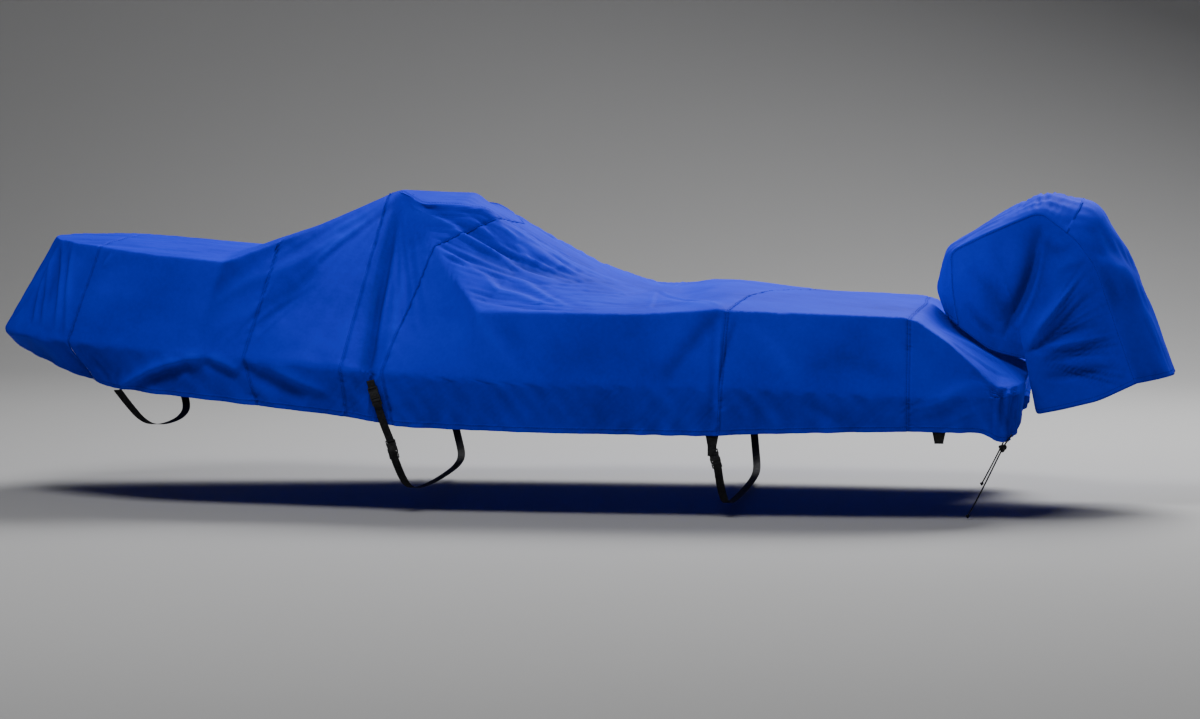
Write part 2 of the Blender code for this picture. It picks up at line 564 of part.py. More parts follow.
# ---------------------------------------------------------------- stern ties
def make_cord(name, route, material, collection):
    curve = bpy.data.curves.new(name, "CURVE")
    curve.dimensions = "3D"
    curve.bevel_depth = CORD_DIAMETER / 2
    curve.bevel_resolution = 2
    curve.use_fill_caps = True
    spline = curve.splines.new("POLY")
    spline.points.add(len(route) - 1)
    for point, place in zip(spline.points, to_frame(route)):
        point.co = (*place, 1.0)
    curve.materials.append(material)
    thing = bpy.data.objects.new(name, curve)
    collection.objects.link(thing)
    return thing


def make_knot(name, place, diameter, material, collection):
    ball = bmesh.new()
    bmesh.ops.create_uvsphere(ball, u_segments=10, v_segments=6, radius=diameter / 2)
    mesh = bpy.data.meshes.new(name)
    ball.to_mesh(mesh)
    ball.free()
    thing = link_mesh(name, mesh, material, collection)
    thing.location = to_frame(place)
    return thing


def make_ties(material, collection):
    """A cord from each gathered corner: through its knot, then down to a knotted free end."""
    for word, side in (("port", -1), ("starboard", 1)):
        route = np.array([(point.x, side * point.breadth, point.height) for point in TIE])
        knot = route[2]
        upper = smooth_route(route[:3], 5)
        step = upper[-1] - upper[-2]
        upper[-1] = knot - step / np.linalg.norm(step) * (TIE_KNOT / 2 + SEAM_GAP)
        lower = smooth_route(route[2:], TIE_POINTS)
        step = lower[1] - lower[0]
        lower[0] = knot + step / np.linalg.norm(step) * (TIE_KNOT / 2 + SEAM_GAP)
        step = lower[-1] - lower[-2]
        end = lower[-1] + step / np.linalg.norm(step) * (END_KNOT / 2 + SEAM_GAP)
        make_cord("tie_upper_" + word, upper, material, collection)
        make_knot("tie_knot_" + word, knot, TIE_KNOT, material, collection)
        make_cord("tie_" + word, lower, material, collection)
        make_knot("tie_end_" + word, end, END_KNOT, material, collection)


def main():
    clear_scene()
    collection = make_collection("boat_cover")
    blue = make_material("coated polyester, royal blue", ROYAL_BLUE, 0.75)
    web = make_material("polypropylene webbing, black", WEB_BLACK, 0.80)
    plastic = make_material("acetal, black", PLASTIC_BLACK, 0.45)
    for panel in PANELS:
        make_panel(panel, blue, collection)
    make_hood(blue, collection)
    make_straps(web, plastic, collection)
    make_ties(web, collection)


main()
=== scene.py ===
"""Looks of the boat cover and motor hood: sewn cloth with its folds, webbing, buckles and ties."""
import math
from collections import namedtuple

import bpy
import numpy as np
from mathutils import Matrix, Vector
from mathutils.bvhtree import BVHTree


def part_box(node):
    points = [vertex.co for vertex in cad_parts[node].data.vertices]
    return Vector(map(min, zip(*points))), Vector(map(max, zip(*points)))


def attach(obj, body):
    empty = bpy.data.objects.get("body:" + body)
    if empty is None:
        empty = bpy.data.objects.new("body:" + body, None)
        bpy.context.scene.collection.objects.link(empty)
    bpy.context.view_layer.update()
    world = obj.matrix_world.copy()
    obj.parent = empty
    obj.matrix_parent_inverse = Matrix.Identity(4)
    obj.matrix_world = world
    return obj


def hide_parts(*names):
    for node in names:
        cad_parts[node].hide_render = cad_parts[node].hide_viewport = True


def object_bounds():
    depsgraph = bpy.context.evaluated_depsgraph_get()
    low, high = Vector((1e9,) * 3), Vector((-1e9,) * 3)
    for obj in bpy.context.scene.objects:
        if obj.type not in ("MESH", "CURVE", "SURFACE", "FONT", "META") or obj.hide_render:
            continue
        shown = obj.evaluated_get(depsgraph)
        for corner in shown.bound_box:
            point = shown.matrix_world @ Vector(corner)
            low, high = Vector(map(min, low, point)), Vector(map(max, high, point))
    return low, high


bl_info = {
    "name": "Boat Cover",
    "version": (1, 0, 0),
    "blender": (4, 5, 0),
    "location": "3D View > Sidebar > Boat Cover",
    "description": "Makes a draped boat cover with its hood, straps, buckles and ties",
    "category": "Object",
}

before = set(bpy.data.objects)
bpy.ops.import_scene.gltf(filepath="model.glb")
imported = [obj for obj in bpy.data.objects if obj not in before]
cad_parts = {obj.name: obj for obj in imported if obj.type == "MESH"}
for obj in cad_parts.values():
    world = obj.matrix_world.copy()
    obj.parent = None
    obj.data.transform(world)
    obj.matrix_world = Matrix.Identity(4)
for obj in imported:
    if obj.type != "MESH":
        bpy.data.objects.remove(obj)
CAD_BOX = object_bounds()

# ---------------------------------------------------------------- the cover's chart
# A place on the cover is named by a crosswise line, given by its x at the gunwale, and a level:
# 0 is the port hem, 1 the gunwale, 2 the top edge, 3 the shoulder, 4 the centre, 8 the other hem.
# The tables measure x from the peak and heights from the hull's lowest strap, in metres.
HOLD_X = 0.20
NOSE_LENGTH = 0.84
STERN_LENGTH = 0.34
STERN_SQUARENESS = 5.0
SECTION_SOFTNESS = 0.016
CLOTH_SOLID = 0.002           # thickness of the cloth in the solid model

Crossing = namedtuple("Crossing", "name hem gunwale edge shoulder centre skew")
CROSSINGS = [
    Crossing("stem", -1.985, -2.040, -1.765, -1.765, -1.765, 0.00),
    Crossing("nose seam", -1.460, -1.575, -1.420, -1.420, -1.420, 0.00),
    Crossing("bow corner", -0.860, -0.930, -0.783, -0.790, -0.800, 0.00),
    Crossing("fore seam", -0.610, -0.670, -0.550, -0.550, -0.550, 0.00),
    Crossing("rise seam", -0.165, -0.190, -0.100, -0.100, -0.100, 0.00),
    Crossing("peak", -0.060, -0.070, -0.050, -0.050, -0.050, 0.00),
    Crossing("peak seam", 0.060, 0.010, 0.180, 0.470, 0.560, 0.00),
    Crossing("rail corner", 0.420, 0.460, 0.459, 0.680, 0.750, 0.00),
    Crossing("dip", 1.290, 1.300, 1.300, 1.310, 1.330, 0.00),
    Crossing("mid seam", 1.605, 1.620, 1.645, 1.700, 1.770, 0.25),
    Crossing("aft seam", 2.490, 2.490, 2.490, 2.500, 2.520, 0.00),
    Crossing("stern slope", 2.640, 2.645, 2.640, 2.650, 2.665, 0.00),
    Crossing("transom", 3.030, 3.040, 3.030, 3.030, 3.030, 0.00),
]
Point = namedtuple("Point", "x breadth height")
Line = namedtuple("Line", "name softness rise dish points")
HEM = Line("hem", 0.06, 0.05, 0.18, [
    Point(-1.985, 0.590, 0.700), Point(-1.630, 0.640, 0.588), Point(-1.330, 0.680, 0.508),
    Point(-0.930, 0.760, 0.476), Point(-0.160, 0.865, 0.404), Point(0.100, 0.890, 0.360),
    Point(0.800, 0.910, 0.342), Point(1.560, 0.915, 0.337), Point(1.750, 0.910, 0.348),
    Point(2.150, 0.905, 0.360), Point(2.500, 0.880, 0.366), Point(2.800, 0.850, 0.360),
    Point(2.880, 0.850, 0.352), Point(2.945, 0.845, 0.255),
    Point(3.030, 0.830, 0.400)])
GUNWALE = Line("gunwale", 0.10, 0.01, 0.10, [
    Point(-2.040, 0.660, 0.755), Point(-1.200, 0.765, 0.706), Point(-0.400, 0.885, 0.652),
    Point(0.200, 0.930, 0.607), Point(0.750, 0.945, 0.572), Point(1.600, 0.950, 0.566),
    Point(2.100, 0.940, 0.546), Point(2.500, 0.920, 0.527), Point(3.040, 0.890, 0.535)])
EDGE = Line("edge", 0.012, 0.015, 0.03, [
    Point(-1.765, 0.620, 1.212), Point(-1.440, 0.665, 1.190), Point(-1.065, 0.700, 1.151),
    Point(-0.783, 0.740, 1.127), Point(-0.420, 0.400, 1.270), Point(-0.050, 0.050, 1.445),
    Point(0.200, 0.450, 1.172), Point(0.459, 0.860, 0.905), Point(1.240, 0.870, 0.905),
    Point(1.610, 0.870, 0.930), Point(1.670, 0.870, 0.925), Point(2.460, 0.840, 0.898),
    Point(2.530, 0.835, 0.880), Point(2.670, 0.840, 0.783), Point(2.900, 0.850, 0.575),
    Point(3.030, 0.850, 0.570)])
SHOULDER = Line("shoulder", 0.030, -0.02, 0.02, [
    Point(-1.765, 0.310, 1.212), Point(-1.440, 0.340, 1.202), Point(-0.800, 0.380, 1.148),
    Point(-0.420, 0.200, 1.278), Point(-0.050, 0.025, 1.446), Point(0.100, 0.250, 1.385),
    Point(0.400, 0.250, 1.374), Point(0.620, 0.300, 1.215), Point(0.850, 0.380, 1.070),
    Point(1.150, 0.430, 0.960), Point(1.400, 0.430, 0.945), Point(1.600, 0.430, 0.978),
    Point(2.530, 0.420, 0.898), Point(2.610, 0.440, 0.828), Point(2.760, 0.520, 0.760),
    Point(2.900, 0.560, 0.675), Point(3.030, 0.560, 0.605)])
CENTRE = Line("centre", 0.025, -0.02, 0.02, [
    Point(-1.765, 0.0, 1.212), Point(-1.440, 0.0, 1.206), Point(-0.800, 0.0, 1.152),
    Point(-0.420, 0.0, 1.280), Point(-0.050, 0.0, 1.447), Point(0.330, 0.0, 1.434),
    Point(0.390, 0.0, 1.380), Point(0.790, 0.0, 1.150), Point(0.990, 0.0, 1.045),
    Point(1.200, 0.0, 0.975), Point(1.350, 0.0, 0.955), Point(1.500, 0.0, 0.990),
    Point(1.650, 0.0, 0.978), Point(2.560, 0.0, 0.905), Point(2.640, 0.0, 0.825),
    Point(2.720, 0.0, 0.745), Point(2.850, 0.0, 0.660), Point(3.030, 0.0, 0.605)])
LINES = [HEM, GUNWALE, EDGE, SHOULDER, CENTRE]
LEVELS = 2 * len(LINES) - 2
MIDDLE = len(LINES) - 1
Lift = namedtuple("Lift", "x height")
LIFTS = [Lift(0.60, 0.0), Lift(0.95, 0.020), Lift(1.25, 0.020), Lift(1.42, 0.040),
         Lift(1.60, 0.010), Lift(1.90, 0.0)]
PEAK = (-0.05, 0.0, 1.447)

# Main folds, as the solids have them: depth is positive for a ridge.  lean puts a trough beside
# the ridge, to the right of its route when positive, and crisp ones have a sharp crest.
Fold = namedtuple("Fold", "route width depth lean crisp")
MAIN_FOLDS = [
    Fold([(-0.07, 1.93), (-0.08, 1.5), (-0.07, 1.0), (-0.05, 0.70)], 0.045, -0.022, 0, False),
    Fold([(-0.02, 1.85), (-0.02, 1.4), (0.03, 1.05)], 0.045, 0.012, 0, False),
    Fold([(-0.20, 1.05), (-0.06, 0.72)], 0.040, 0.012, 0, False),
    Fold([(-1.30, 0.20), (-1.05, 0.70), (-0.86, 1.02)], 0.050, 0.014, 0, False),
    Fold([(-1.99, 1.2), (-1.93, 1.85)], 0.045, 0.010, 0, False),
    Fold([(-1.86, 1.15), (-1.80, 1.85)], 0.045, -0.010, 0, False),
    Fold([(-1.72, 1.10), (-1.68, 1.85)], 0.050, 0.010, 0, False),
    Fold([(-0.85, 1.65), (-0.50, 1.78), (-0.20, 1.93)], 0.035, 0.010, 0, False),
    Fold([(0.03, 2.4), (0.35, 2.6), (0.85, 3.0)], 0.050, -0.014, 0, False),
    Fold([(0.02, 2.8), (0.35, 3.1), (0.95, 3.5)], 0.050, 0.012, 0, False),
    Fold([(1.28, 2.9), (1.60, 2.05)], 0.050, 0.014, 0, False),
    Fold([(2.80, 1.9), (2.93, 1.2), (2.95, 0.3)], 0.045, -0.014, 0, False),
    Fold([(1.95, 1.2), (2.40, 1.6)], 0.110, -0.010, 0, False),
    Fold([(0.75, 1.2), (1.30, 1.6)], 0.110, -0.008, 0, False),
]
# Finer folds, from the bow aft.
FINE_FOLDS = [
    Fold([(-1.92, 1.80), (-1.87, 1.38), (-1.81, 1.14)], 0.022, 0.014, 1, False),
    Fold([(-1.93, 1.92), (-1.86, 1.56), (-1.75, 1.14)], 0.020, 0.012, 1, False),
    Fold([(-1.90, 2.00), (-1.74, 1.60), (-1.65, 1.10)], 0.022, 0.014, 1, False),
    Fold([(-1.79, 1.98), (-1.67, 1.53), (-1.59, 1.05)], 0.020, 0.012, 1, False),
    Fold([(-1.99, 1.02), (-1.93, 1.25)], 0.020, 0.008, 0, True),
    Fold([(-1.57, 0.90), (-1.53, 0.05)], 0.018, 0.006, 1, False),
    Fold([(-1.62, 0.87), (-1.59, 0.24)], 0.018, -0.005, 0, False),
    Fold([(-1.50, 1.95), (-1.52, 1.80)], 0.010, 0.012, 1, True),
    Fold([(-1.41, 0.06), (-1.36, 0.15), (-1.15, 0.63), (-0.96, 0.90), (-0.85, 1.00)],
         0.024, 0.024, 1, True),
    Fold([(-1.30, 0.21), (-1.08, 0.51), (-0.95, 0.80)], 0.035, -0.020, 0, False),
    Fold([(-0.85, 1.00), (-0.76, 0.86), (-0.70, 0.72)], 0.022, 0.018, 1, False),
    Fold([(-1.44, 0.03), (-1.41, 0.30), (-1.37, 0.54)], 0.013, 0.006, 1, True),
    Fold([(-1.43, 0.06), (-1.43, 0.48), (-1.47, 0.84)], 0.015, 0.006, -1, True),
    Fold([(-0.69, 0.87), (-0.54, 0.48), (-0.40, 0.27)], 0.032, -0.016, 0, False),
    Fold([(-0.58, 0.93), (-0.42, 0.66), (-0.25, 0.42)], 0.026, 0.014, 1, True),
    Fold([(-0.82, 1.05), (-0.66, 1.47), (-0.64, 1.71)], 0.012, 0.005, 1, True),
    Fold([(-0.73, 1.20), (-0.60, 1.44), (-0.43, 1.56)], 0.012, 0.005, 1, True),
    Fold([(-0.66, 1.11), (-0.59, 1.29), (-0.51, 1.44)], 0.010, 0.004, 1, True),
    Fold([(-0.77, 1.20), (-0.67, 1.38), (-0.54, 1.62)], 0.020, -0.005, 0, False),
    Fold([(-0.10, 1.99), (-0.34, 1.83), (-0.47, 1.71)], 0.012, 0.013, -1, True),
    Fold([(-0.16, 1.98), (-0.31, 1.93), (-0.43, 1.90)], 0.018, 0.009, -1, False),
    Fold([(-0.46, 1.68), (-0.53, 1.53), (-0.67, 1.23)], 0.050, -0.012, 0, False),
    Fold([(-0.10, 1.98), (-0.07, 1.77), (-0.07, 1.41), (-0.06, 1.17), (-0.05, 1.00)],
         0.018, -0.016, 0, True),
    Fold([(-0.06, 1.85), (-0.05, 1.56), (-0.05, 1.32), (-0.03, 1.05)], 0.018, 0.012, 0, False),
    Fold([(-0.10, 1.45), (-0.07, 1.12)], 0.014, 0.008, 0, False),
    Fold([(-0.03, 1.86), (0.00, 1.53), (0.00, 1.32)], 0.040, -0.010, 0, False),
    Fold([(0.45, 1.98), (0.56, 1.50), (0.68, 1.05)], 0.040, 0.008, -1, False),
    Fold([(-0.07, 1.02), (-0.05, 0.72)], 0.010, 0.009, 0, True),
    Fold([(0.01, 1.02), (-0.04, 0.72)], 0.010, 0.009, 0, True),
    Fold([(-0.03, 1.00), (-0.05, 0.74)], 0.009, -0.012, 0, False),
    Fold([(-0.13, 0.93), (-0.10, 0.42)], 0.020, -0.008, 0, False),
    Fold([(-0.05, 2.15), (-0.03, 2.37), (0.08, 2.52), (0.37, 2.67), (0.66, 2.70)],
         0.020, 0.017, -1, True),
    Fold([(0.14, 3.39), (0.43, 3.12), (0.60, 3.12), (0.68, 3.09), (0.78, 3.40)],
         0.010, -0.010, 0, True),
    Fold([(0.36, 2.64), (0.43, 2.61), (0.51, 2.55)], 0.009, -0.006, 0, True),
    Fold([(0.29, 2.85), (0.47, 2.85), (0.74, 2.88)], 0.014, 0.009, -1, True),
    Fold([(0.57, 2.88), (0.68, 3.09)], 0.010, 0.006, 0, True),
    Fold([(0.66, 2.67), (0.87, 3.15), (1.02, 3.60)], 0.014, -0.008, 0, True),
    Fold([(0.87, 2.43), (1.04, 2.49), (1.11, 2.61)], 0.010, 0.005, 1, True),
    Fold([(0.95, 2.64), (1.04, 2.94), (1.10, 3.70)], 0.013, 0.006, 1, True),
    Fold([(0.30, 2.31), (0.59, 2.34), (0.80, 2.16)], 0.022, 0.012, -1, True),
    Fold([(0.45, 2.55), (0.60, 2.52), (0.91, 2.13)], 0.020, 0.011, -1, True),
    Fold([(0.03, 2.07), (0.21, 2.22), (0.33, 2.34)], 0.016, 0.009, -1, True),
    Fold([(-0.03, 2.73), (0.08, 2.70), (0.30, 2.76)], 0.012, 0.007, -1, True),
    Fold([(0.00, 2.95), (0.15, 2.93), (0.33, 2.91)], 0.011, 0.007, -1, True),
    Fold([(0.00, 3.05), (0.15, 3.25), (0.45, 3.45)], 0.011, 0.006, -1, True),
    Fold([(1.15, 3.87), (1.40, 2.80), (1.59, 2.10)], 0.014, 0.008, 1, True),
    Fold([(1.21, 2.25), (1.25, 2.60), (1.21, 3.00), (1.15, 3.80)], 0.009, 0.004, 1, True),
    Fold([(1.30, 2.20), (1.22, 2.50), (1.32, 2.75)], 0.009, 0.004, 1, True),
    Fold([(1.59, 1.89), (1.61, 1.02), (1.62, 0.15)], 0.015, 0.014, 1, True),
    Fold([(1.67, 1.92), (1.61, 1.23), (1.61, 0.69)], 0.018, -0.016, 0, True),
    Fold([(1.34, 1.02), (1.52, 1.74), (1.59, 1.95)], 0.040, -0.014, 0, False),
    Fold([(1.73, 1.83), (1.91, 1.38), (2.05, 0.99)], 0.045, 0.008, 0, False),
    Fold([(2.13, 1.53), (2.29, 1.32), (2.49, 1.20)], 0.045, -0.007, 0, False),
    Fold([(2.00, 0.75), (2.19, 0.24)], 0.030, -0.007, 0, False),
    Fold([(2.54, 0.57), (2.66, 0.99), (2.90, 1.65)], 0.035, 0.010, 1, False),
    Fold([(2.46, 2.28), (2.52, 2.13)], 0.012, 0.006, 1, True),
    Fold([(2.67, 2.30), (2.80, 2.40), (2.95, 2.60)], 0.018, 0.008, 1, True),
    Fold([(2.62, 2.70), (2.80, 2.90), (2.95, 3.10)], 0.020, 0.007, 1, False),
    Fold([(2.90, 1.77), (2.90, 0.63), (2.91, 0.09)], 0.011, 0.009, 1, True),
    Fold([(2.95, 1.60), (2.95, 0.80), (2.93, 0.10)], 0.011, 0.009, 1, True),
    Fold([(2.99, 1.50), (2.99, 0.70), (2.96, 0.10)], 0.010, 0.008, 1, True),
]
FAR_SHIFT = 0.045             # the starboard folds lie this much further aft
FAR_DEPTH = 0.8               # and are this much as deep

Panel = namedtuple("Panel", "name start end low high width length area")
CROWN_LOW = 3.12
CROWN_HIGH = LEVELS - CROWN_LOW
PANELS = [                    # the last three columns are the flat cut, in metres
    Panel("cover_nose", "stem", "nose seam", 0, LEVELS, 2.60, 0.95, 1.25),
    Panel("cover_fore", "nose seam", "fore seam", 0, LEVELS, 2.75, 1.00, 2.42),
    Panel("cover_rise", "fore seam", "rise seam", 0, LEVELS, 3.15, 0.50, 1.29),
    Panel("cover_peak_port", "rise seam", "peak seam", 0, CROWN_LOW, 1.50, 0.55, 0.42),
    Panel("cover_crown", "rise seam", "peak seam", CROWN_LOW, CROWN_HIGH, 0.48, 0.70, 0.24),
    Panel("cover_peak_starboard", "rise seam", "peak seam", CROWN_HIGH, LEVELS, 1.50, 0.55, 0.42),
    Panel("cover_mid", "peak seam", "mid seam", 0, LEVELS, 3.30, 1.75, 4.80),
    Panel("cover_aft", "mid seam", "aft seam", 0, LEVELS, 3.05, 0.90, 2.03),
    Panel("cover_stern", "aft seam", "transom", 0, LEVELS, 3.00, 0.80, 1.72),
]

# ---------------------------------------------------------------- the hood's outline
# Rows run from the front of the hem over the crown to the back of the hem.
Outline = namedtuple("Outline", "name x breadth height middle_x middle_height")
HOOD = [
    Outline("front hem", 2.680, 0.215, 0.818, 2.615, 0.862),
    Outline("front", 2.650, 0.215, 0.990, 2.566, 0.990),
    Outline("front top", 2.640, 0.190, 1.172, 2.625, 1.180),
    Outline("crown", 2.835, 0.215, 1.270, 2.810, 1.305),
    Outline("hood peak", 3.070, 0.175, 1.370, 3.088, 1.456),
    Outline("rear top", 3.253, 0.235, 1.236, 3.345, 1.405),
    Outline("rear shoulder", 3.345, 0.265, 1.110, 3.520, 1.105),
    Outline("rear", 3.456, 0.295, 0.790, 3.640, 0.790),
    Outline("rear hem", 3.539, 0.310, 0.556, 3.716, 0.585)]
HOOD_TOP_START = 2
HOOD_TOP_END = 4
HOOD_CROSS_SEAM = 4.70
HOOD_HEM = [
    Outline("front hem", 2.680, 0.215, 0.818, 0, 0),
    Outline("over the well", 2.840, 0.285, 0.705, 0, 0),
    Outline("over the transom", 3.070, 0.300, 0.650, 0, 0),
    Outline("behind the transom", 3.054, 0.305, 0.400, 0, 0),
    Outline("side", 3.180, 0.305, 0.425, 0, 0),
    Outline("side aft", 3.360, 0.305, 0.470, 0, 0),
    Outline("rear hem", 3.539, 0.310, 0.556, 0, 0)]
HOOD_BULGE = 0.045
HOOD_SOFTNESS = 0.20
HOOD_FULLNESS = ((0.0, 2.0), (4.7, 2.0), (6.0, 3.4))
HOOD_FOLD_SHARE = 1.5         # the folds of the hood are this much deeper than the table says
HOOD_HEART = (3.05, 0.0, 0.95)  # a place in the middle of the hood
HOOD_PINCH = (2.98, 0.0, 0.68)  # where the wrinkles of its sides spread from
HOOD_GIRTH = 0.52             # rough width of its front and rear pieces
HOOD_FLAPS = (0.004, 0.009, 0.013)  # rows by which those pieces lap over the sides
# Folds of the hood's sides, by x and height.
HOOD_FOLDS = [
    Fold([(3.07, 1.33), (3.06, 1.15), (3.02, 0.98), (2.90, 0.82)], 0.045, -0.020, 0, False),
    Fold([(3.00, 0.72), (3.12, 0.86), (3.30, 1.05)], 0.045, 0.012, 0, False),
    Fold([(3.09, 1.24), (3.07, 1.06), (3.03, 0.94), (2.97, 0.81)], 0.018, 0.012, 0, False),
    Fold([(3.08, 1.30), (3.05, 1.12), (3.00, 0.98), (2.93, 0.83), (2.90, 0.76)],
         0.013, -0.012, 0, True),
    Fold([(3.10, 1.24), (3.13, 1.18), (3.20, 1.18), (3.26, 1.22)], 0.025, -0.010, 0, False),
    Fold([(3.02, 0.70), (3.12, 0.77), (3.20, 0.86), (3.29, 0.96), (3.37, 0.99)],
         0.022, -0.013, 0, True),
    Fold([(3.03, 0.70), (3.13, 0.75), (3.24, 0.81), (3.42, 0.84)], 0.018, -0.012, 0, True),
    Fold([(3.06, 0.80), (3.14, 0.90), (3.26, 1.06)], 0.020, 0.012, 1, True),
    Fold([(3.09, 0.66), (3.18, 0.67), (3.32, 0.70), (3.46, 0.74)], 0.020, -0.010, 0, True),
    Fold([(3.10, 0.58), (3.25, 0.59), (3.46, 0.64)], 0.020, -0.008, 0, False),
    Fold([(3.10, 0.72), (3.25, 0.75), (3.44, 0.79)], 0.018, 0.009, 1, False),
    Fold([(2.72, 0.92), (2.80, 0.82), (2.86, 0.78)], 0.022, -0.008, 0, False),
    Fold([(2.74, 1.10), (2.86, 0.98), (2.94, 0.86)], 0.045, -0.008, 0, False),
    Fold([(3.16, 1.10), (3.24, 1.13), (3.30, 1.16)], 0.016, 0.006, 1, False),
]

# ---------------------------------------------------------------- straps and ties
BOW_STRAP = [Point(-1.335, 0.600, 0.495), Point(-1.290, 0.560, 0.420), Point(-1.240, 0.480, 0.335),
             Point(-1.215, 0.300, 0.300), Point(-1.205, 0.0, 0.290)]
MID_LINK = [Point(-0.004, 0.918, 0.461), Point(0.020, 0.912, 0.380), Point(0.046, 0.888, 0.304)]
MID_STRAP = [Point(0.069, 0.872, 0.204), Point(0.095, 0.845, 0.120), Point(0.120, 0.780, 0.060),
             Point(0.135, 0.550, 0.040), Point(0.140, 0.280, 0.034), Point(0.140, 0.0, 0.032)]
AFT_STRAP = [Point(1.603, 0.885, 0.178), Point(1.615, 0.860, 0.080), Point(1.628, 0.790, 0.012),
             Point(1.632, 0.600, -0.008), Point(1.634, 0.300, -0.014), Point(1.634, 0.0, -0.016)]
TIE = [Point(2.968, 0.800, 0.352), Point(2.948, 0.815, 0.325), Point(2.926, 0.822, 0.290),
       Point(2.895, 0.812, 0.225), Point(2.850, 0.790, 0.130), Point(2.805, 0.762, 0.040),
       Point(2.765, 0.735, -0.035)]
TIE_KNOT_ROW = 2              # the row of TIE at which its knot is
KNOT_FULLNESS = 1.5           # the gathered corner swells its knot this much
KNOT_TIGHTNESS = 0.8          # the end knot is pulled tight, which thins its cord
END_KNOT_SHARE = 0.35         # share of the end knot that lies past the cord
SIDES = (("port", -1), ("starboard", 1))
# A strap's ends turn back over the given tail.  Where they meet a buckle they first run on
# inside it, so that webbing fills the buckle's slots.
Strap = namedtuple("Strap", "name points tail inside")
INSIDE = 0.047
STRAPS = [Strap("strap_bow", BOW_STRAP, 0.045, 0.0), Strap("strap_mid", MID_STRAP, 0.085, INSIDE),
          Strap("strap_aft", AFT_STRAP, 0.085, INSIDE)]
LINK_TAIL = 0.070             # the same for the links between buckles
TAIL_GAP = 0.0012             # room between a strap and its turned-back tail
UPPER_BUCKLE_SPAN = 0.098     # length of webbing that an upper buckle takes up
LOOP_REACHES = (0.128, 0.108, 0.060)  # places of the loop above it, up from the buckle's foot
LOOP_SINK = 0.004             # the loop's top lies this far into the cloth
TAB_INSIDE = 0.040            # an aft tab runs on this far inside its buckle
TAB_TAPER_END = 0.006         # its taper ends this far above the buckle
TAB_LAYERS = 1.4              # a tab is this much thicker than a strap
STRAP_STEP = 0.012            # distance between the rows of a strap or cord
SHORT_STEP = 0.008            # and of a loop or tab


# ---------------------------------------------------------------- reading the tables
def softened(places, values, at, softness):
    """Straight runs between a table's rows, their corners rounded over the softness."""
    room = np.minimum(at - places[0], places[-1] - at)
    reach = np.clip(room, 0.0, softness)
    shares = np.linspace(-1.0, 1.0, 9)
    return np.mean([np.interp(at + reach * share, places, values) for share in shares], axis=0)


def column(rows, name):
    return np.array([getattr(row, name) for row in rows])


def end_rounding(gunwale_x):
    """Share of the full breadth: 0 at the stem and at the middle of the transom, 1 between."""
    fore = np.clip(1.0 - (gunwale_x - CROSSINGS[0].gunwale) / NOSE_LENGTH, 0.0, 1.0)
    aft = np.clip(1.0 - (CROSSINGS[-1].gunwale - gunwale_x) / STERN_LENGTH, 0.0, 1.0)
    stern = (1.0 - aft ** STERN_SQUARENESS) ** (1.0 / STERN_SQUARENESS)
    return np.sqrt(1.0 - fore ** 2) * stern


def line_places(line, side, gunwale_x):
    along = column(CROSSINGS, "gunwale")
    x = np.interp(gunwale_x, along, column(CROSSINGS, line.name))
    if side > 0 and line is not CENTRE:
        x = x + np.interp(gunwale_x, along, column(CROSSINGS, "skew"))
    rounding = end_rounding(gunwale_x)
    to_middle = np.where(gunwale_x > 0.0, 1.0 - rounding, 0.0)
    places = column(line.points, "x")
    breadth = softened(places, column(line.points, "breadth"), x, line.softness) * rounding
    height = softened(places, column(line.points, "height"), x, line.softness)
    height = height + line.rise * np.sqrt(to_middle)
    if side > 0 and line in (EDGE, SHOULDER):
        height = height + softened(column(LIFTS, "x"), column(LIFTS, "height"), x, 0.03)
    return np.stack([x - line.dish * to_middle ** 2, side * breadth, height], axis=-1)


def plain_cloth(gunwale_x, level, shift):
    """The cloth without its folds, and its girth from the centre line, from flat arrays."""
    port = [line_places(line, -1, gunwale_x) for line in LINES]
    starboard = [line_places(line, 1, gunwale_x) for line in reversed(LINES[:-1])]
    corners = np.stack(port + starboard, axis=1)
    runs = np.linalg.norm(np.diff(corners, axis=1), axis=2)
    girths = np.concatenate([np.zeros((len(runs), 1)), np.cumsum(runs, axis=1)], axis=1)
    rows = np.arange(len(runs))
    run = np.clip(level.astype(int), 0, LEVELS - 1)
    girth = girths[rows, run] + (level - run) * runs[rows, run] + shift
    reach = np.clip(np.minimum(girth, girths[:, -1] - girth), 0.0, SECTION_SOFTNESS)
    place = np.zeros((len(rows), 3))
    shares = np.linspace(-1.0, 1.0, 7)
    for share in shares:
        at = girth + reach * share
        run = np.clip((girths[:, 1:-1] <= at[:, None]).sum(axis=1), 0, LEVELS - 1)
        part = (at - girths[rows, run]) / np.maximum(runs[rows, run], 1e-9)
        step = corners[rows, run + 1] - corners[rows, run]
        place += corners[rows, run] + np.clip(part, 0.0, 1.0)[:, None] * step
    return place / len(shares), girth - girths[:, MIDDLE]


def to_frame(places):
    """Move places from the tables' measures to the model's own frame."""
    crown = np.interp(HOLD_X, column(CENTRE.points, "x"), column(CENTRE.points, "height"))
    return np.asarray(places, dtype=float) - np.array([HOLD_X, 0.0, crown - CLOTH_SOLID])


# ---------------------------------------------------------------- folds and ripples
def smooth_route(points, count):
    """Evenly counted places on a route through a few points."""
    points = np.array(points, dtype=float)
    share = np.linspace(0.0, 1.0, len(points))
    at = np.linspace(0.0, 1.0, count)
    softness = 0.5 / (len(points) - 1) if len(points) > 2 else 0.0
    return np.stack([softened(share, points[:, i], at, softness) for i in range(points.shape[1])],
                    axis=-1)


